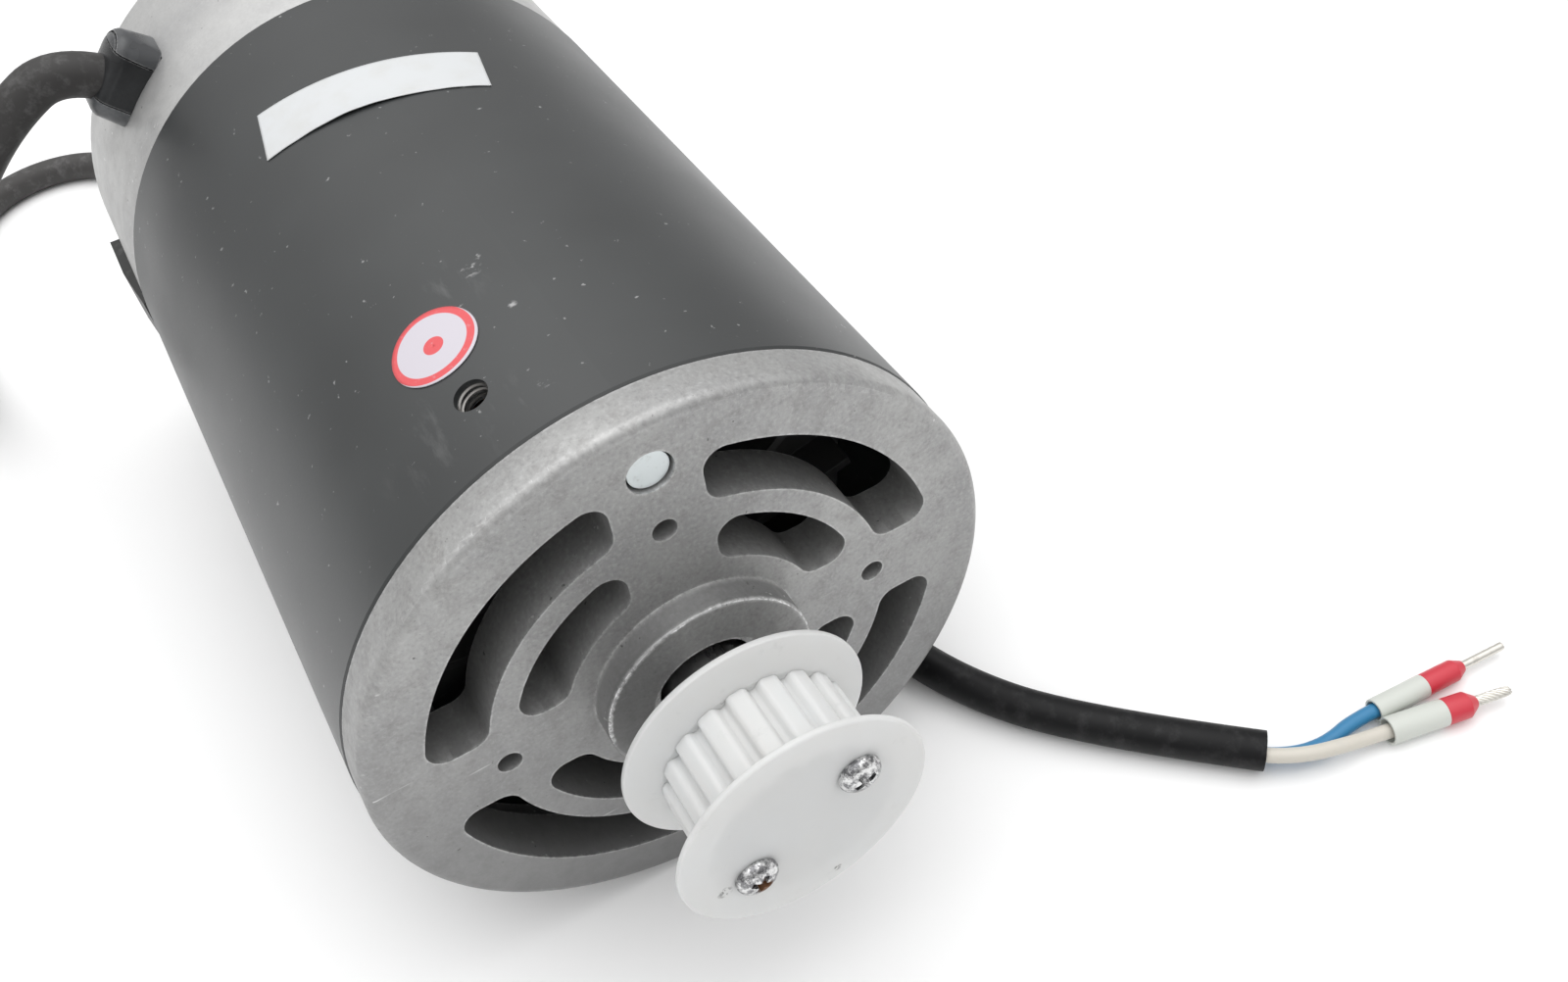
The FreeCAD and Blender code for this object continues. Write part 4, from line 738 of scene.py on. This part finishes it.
def relief_ring(inset, height):
    """One rounded rectangle of the bush; a height of None follows the bell."""
    low, high = RELIEF_SPAN[0] + inset, RELIEF_SPAN[1] - inset
    half = RELIEF_HALF - inset
    if height is None:
        top = foot = RELIEF_SKIRT
    else:
        top, foot = (max(corner - inset, 0.6) for corner in RELIEF_CORNERS)
    outline = rounded([(-half, low, top), (half, low, top), (half, high, foot), (-half, high, foot)], 8)
    ring = []
    for x, t in outline:
        if height is None:
            h = math.sqrt(BELL_R ** 2 - t ** 2) + 0.02
        else:
            h = height - TOP_SLOPE * (t - RELIEF_SPAN[0]) * (height > BELL_R)
        ring.append(relief_point(RELIEF_X + x, t, h))
    return ring


def relief_rings(groove=()):
    """The rings of the bush from its neck to its crown, with a groove's (inset, rise) steps part way up."""
    rings = [relief_ring(NECK_INSET, RELIEF_NECK), relief_ring(NECK_INSET, None), relief_ring(0, None),
             relief_ring(0, RELIEF_SHOULDER)]
    for k in range(1, ROUND_STEPS + 1):
        turn = math.pi / 2 * k / ROUND_STEPS
        inset = RELIEF_ROUND * (1 - math.cos(turn))
        height = RELIEF_SHOULDER + RELIEF_ROUND * math.sin(turn)
        rings.append(relief_ring(inset, height))
        if k == GROOVE_STEP:
            rings += [relief_ring(inset + across, height + rise) for across, rise in groove]
    rings.append(relief_ring(RELIEF_ROUND + CROWN_INSET, RELIEF_SHOULDER + RELIEF_ROUND + CROWN_RISE))
    return rings


def relief_slice(low, high, groove=()):
    """The part of the bush between two cuts across it."""
    mesh = solid("relief", relief_rings(groove))
    shape = bmesh.new()
    shape.from_mesh(mesh)
    for cut, keep in ((low, 1), (high, -1)):
        if cut is None:
            continue
        done = bmesh.ops.bisect_plane(shape, geom=shape.verts[:] + shape.edges[:] + shape.faces[:],
                                      plane_co=relief_point(RELIEF_X, cut, BELL_R) * MM,
                                      plane_no=relief_side * keep, clear_inner=True)
        rim = [item for item in done["geom_cut"] if isinstance(item, bmesh.types.BMEdge)]
        bmesh.ops.holes_fill(shape, edges=rim)
    bmesh.ops.recalc_face_normals(shape, faces=shape.faces)
    shape.to_mesh(mesh)
    shape.free()
    return smooth(mesh, 40)


low_seam = (SEAMS[0] - SEAM_GAP / 2, SEAMS[0] + SEAM_GAP / 2)
high_seam = (SEAMS[1] - SEAM_GAP / 2, SEAMS[1] + SEAM_GAP / 2)
shells = merged("relief_shells", [relief_slice(None, low_seam[0], RELIEF_GROOVE),
                                  relief_slice(high_seam[1], None)])
shell_piece = add_piece("relief_shells", smooth(shells, 40), "relief_black",
                        "strain_relief_body")
wedge_piece = add_piece("relief_wedge", relief_slice(low_seam[1], high_seam[0]), "relief_dark",
                        "strain_relief_wedge")
soften_edges(shell_piece, 0.3, 50)
soften_edges(wedge_piece, 0.3, 50)


# ---- brush springs, copied out of their CAD nodes ----

for side, sign in (("left", -1), ("right", 1)):
    node = nodes["brush_spring_" + side]
    coil = node.data.copy()
    coil.transform(node.matrix_world)
    spring = bpy.data.objects.new("brush_spring_look_" + side, coil)
    scene.collection.objects.link(spring)
    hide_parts("brush_spring_" + side)
    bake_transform(spring)


# ---- label and sticker, bowed over the casing ----

LABEL_X, LABEL_CLOCK, LABEL_TURN, LABEL_HALF = -94.0, 2.58, -11.1, (6.15, 18.85)
LABEL_STEPS, LIFT_AT, LIFT_WIDTH, LIFT_RISE, RIPPLE_RISE, CURL_FROM = (12, 48), -3, 7, 0.38, 0.05, 0.35
STICKER_X, STICKER_CLOCK, STICKER_R, STICKER_RINGS, STICKER_SIDES = -31.3, 17.85, 6.5, 14, 72
GLUE_GAP, SHEET_THICKNESS = 0.1, 0.1


def on_casing(x, arc, height):
    """A point from its place along the casing, its arc length round it and its height above it."""
    turn = arc / CASING_R
    return Vector((x, -(CASING_R + height) * math.sin(turn), (CASING_R + height) * math.cos(turn)))


def film(name, rows):
    """A sheet with no thickness through a grid of points."""
    count = len(rows[0])
    mesh = bpy.data.meshes.new(name)
    mesh.from_pydata([point * MM for row in rows for point in row], [],
                     [(i * count + k, i * count + k + 1, (i + 1) * count + k + 1, (i + 1) * count + k)
                      for i in range(len(rows) - 1) for k in range(count - 1)])
    shape = bmesh.new()
    shape.from_mesh(mesh)
    bmesh.ops.remove_doubles(shape, verts=shape.verts, dist=1e-7)
    bmesh.ops.recalc_face_normals(shape, faces=shape.faces)
    shape.to_mesh(mesh)
    shape.free()
    return smooth(mesh, 60)


def thicken(piece):
    """Give a sheet its thickness, half on each side."""
    skin = piece.modifiers.new("thickness", "SOLIDIFY")
    skin.thickness = SHEET_THICKNESS * MM
    skin.offset = 0


label_rows = []
turn = math.radians(LABEL_TURN)
for i in range(2 * LABEL_STEPS[0] + 1):
    across = LABEL_HALF[0] * (i / LABEL_STEPS[0] - 1)
    row = []
    for k in range(2 * LABEL_STEPS[1] + 1):
        along = LABEL_HALF[1] * (k / LABEL_STEPS[1] - 1)
        x = LABEL_X + across * math.cos(turn) - along * math.sin(turn)
        arc = math.radians(LABEL_CLOCK) * CASING_R - (across * math.sin(turn) + along * math.cos(turn))
        edge = max(0.0, across / LABEL_HALF[0] - CURL_FROM) / (1 - CURL_FROM)
        hump = math.exp(-((along - LIFT_AT) / LIFT_WIDTH) ** 2)
        ripple = noise.noise(Vector((along * 0.35, across * 0.15, 3)))
        lift = LIFT_RISE * edge ** 2 * hump + RIPPLE_RISE * (1 + ripple) * edge
        row.append(on_casing(x, arc, GLUE_GAP + 0.02 + lift))
    label_rows.append(row)
label = film("label_sheet", label_rows)
thicken(add_piece("label_sheet", label, "label_white", "rating_label"))

sticker_rows = []
for i in range(STICKER_RINGS + 1):
    radius = STICKER_R * i / STICKER_RINGS + 0.001
    height = GLUE_GAP + 0.06 * (i == STICKER_RINGS)
    row = []
    for k in range(STICKER_SIDES + 1):
        turn = 2 * math.pi * k / STICKER_SIDES
        row.append(on_casing(STICKER_X + radius * math.cos(turn),
                             math.radians(STICKER_CLOCK) * CASING_R + radius * math.sin(turn), height))
    sticker_rows.append(row)
sticker = film("sticker_sheet", sticker_rows)
thicken(add_piece("sticker_sheet", sticker, "sticker", "round_sticker"))


# ---- earth hole thread ----

EARTH_X, EARTH_CLOCK, EARTH_R, THREAD_PITCH = -19.4, 17.2, 2.5, 1.0
THREAD_START, THREAD_TURNS, TURN_STEPS, THREAD_RIDGE = 46.3, 3, 36, 0.3

earth_out, earth_side = clock_frame(EARTH_CLOCK)
thread_points = []
for k in range(THREAD_TURNS * TURN_STEPS + 1):
    turn = 2 * math.pi * k / TURN_STEPS
    thread_points.append(Vector((EARTH_X, 0, 0)) + earth_out * (THREAD_START + THREAD_PITCH * k / TURN_STEPS)
                         + Vector((math.cos(turn), 0, 0)) * EARTH_R + earth_side * math.sin(turn) * EARTH_R)
thread = swept("earth_thread", thread_points, [THREAD_RIDGE] * len(thread_points), 6)
add_piece("earth_thread", thread, "thread_steel")


# ---- sleeve round the cable's first bend ----

sleeve_route = CABLE_ROUTE[:3] + [tuple((Vector(CABLE_ROUTE[2]) + Vector(CABLE_ROUTE[3])) / 2)]
sleeve = cord_curve("bend_sleeve", sleeve_route, SLEEVE_R, SLEEVE_TAPER)
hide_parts("cable_sleeve")
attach(sleeve, "stator")
sleeve.data.materials.append(MATERIALS["cable_black"])


# ---- ferrules on the two wires ----

STRAND_COUNT, STRAND_TWIST, STRAND_SPREAD = 6, 1.3, (0.68, 0.36)
WIRE_IN_COLLAR, CRIMP_RIBS = 0.8, 12


def strands(length):
    """Twisted strands pressed flat, with a soldered tip."""
    strand_radii = [0.33] * 36 + [0.32, 0.3, 0.27, 0.22, 0.12]
    core_radii = [0.5] * 19 + [0.42, 0.2]
    steps, core_steps = len(strand_radii) - 1, len(core_radii) - 1
    pieces = []
    for i in range(STRAND_COUNT):
        path = []
        for k in range(steps + 1):
            share = k / steps
            turn = 2 * math.pi * (i / STRAND_COUNT + STRAND_TWIST * share)
            close = 1 - 0.25 * share ** 6
            path.append((share * length, STRAND_SPREAD[0] * math.cos(turn) * close,
                         STRAND_SPREAD[1] * math.sin(turn) * close))
        pieces.append(swept("strand", path, strand_radii, 10))
    core = [(length * k / core_steps, 0, 0) for k in range(core_steps + 1)]
    pieces.append(swept("core", core, core_radii, 12, flat=0.8))
    return merged("strands", pieces)


def ferrule(colour, route, width, collar_length, band_length, pin_length):
    """Collar with an open mouth, bevelled band and pin, all in line with the wire."""
    end, before = Vector(route[-1]), Vector(route[-2])
    heading = (end - before).normalized()
    turned = heading.to_track_quat("X", "Z").to_matrix().to_4x4()
    place = Matrix.Translation((end - heading * WIRE_IN_COLLAR) * MM) @ turned
    joint, tip = collar_length, collar_length + band_length
    bore, inner, mouth = width - 0.4, 0.3, 2.6
    collar = rounded([(0, bore, 0.08), (0, width, 0.14), (joint, width - 0.04, 0.06), (joint, inner, 0),
                      (mouth, inner, 0), (mouth, bore - 0.1, 0)])
    band = rounded([(joint + 0.02, 0.4, 0), (joint + 0.02, width - 0.08, 0.1), (tip - 2, width - 0.12, 0.4),
                    (tip - 0.1, 1.05, 0.25), (tip, 0.4, 0)])
    pieces = [("collar", lathe("collar", collar, 64), "collar_white", "wire_white"),
              ("band", lathe("band", band, 64), "band_red", "band_red")]
    if colour == "blue":
        crimp = [(tip - 0.3, ON_AXIS, 0), (tip - 0.3, 0.8, 0)]
        for k in range(1, CRIMP_RIBS):
            crimp.append((tip + pin_length * k / CRIMP_RIBS, 0.74 + 0.035 * (k % 2), 0))
        crimp += [(tip + pin_length, 0.76, 0.12), (tip + pin_length, ON_AXIS, 0)]
        pin = lathe("pin", rounded(crimp), 40)
    else:
        pin = moved(strands(pin_length + 0.4), shift(tip - 0.4, 0, 0))
    pieces.append(("pin", pin, "tinned", "tinned_copper"))
    return [add_piece("%s_ferrule_%s_look" % (colour, kind), moved(mesh, place), material,
                      "%s_ferrule_%s" % (colour, kind)) for kind, mesh, material, slot in pieces]


wire_end = [blue_wire, white_wire, sleeve]
wire_end += ferrule("blue", BLUE_ROUTE, 2.1, collar_length=10.5, band_length=8.5, pin_length=8.7)
wire_end += ferrule("white", WHITE_ROUTE, 2.45, collar_length=10.5, band_length=6.3, pin_length=6.6)


# ---- softened edges on the CAD pieces ----

EDGE_WIDTHS = {"front_end_bell": 0.35, "rear_end_bell": 0.35, "seal_circlip": 0.1, "tie_bolts": 0.15,
               "cooling_fan": 0.15, "brush_holder_left": 0.25, "brush_holder_right": 0.25,
               "brush_cap_left": 0.25, "brush_cap_right": 0.25}

for name, width in EDGE_WIDTHS.items():
    weld = nodes[name].modifiers.new("weld", "WELD")
    weld.merge_threshold = 1e-6
    soften_edges(nodes[name], width, 38)


# ---- floor material ----

floor_graph = Graph("floor", Roughness=0.6)
floor_graph.set(Base_Color=floor_graph.mix(floor_graph.noise(3), grey(0.9), grey(0.92)))
floor.data.materials.append(floor_graph.material)
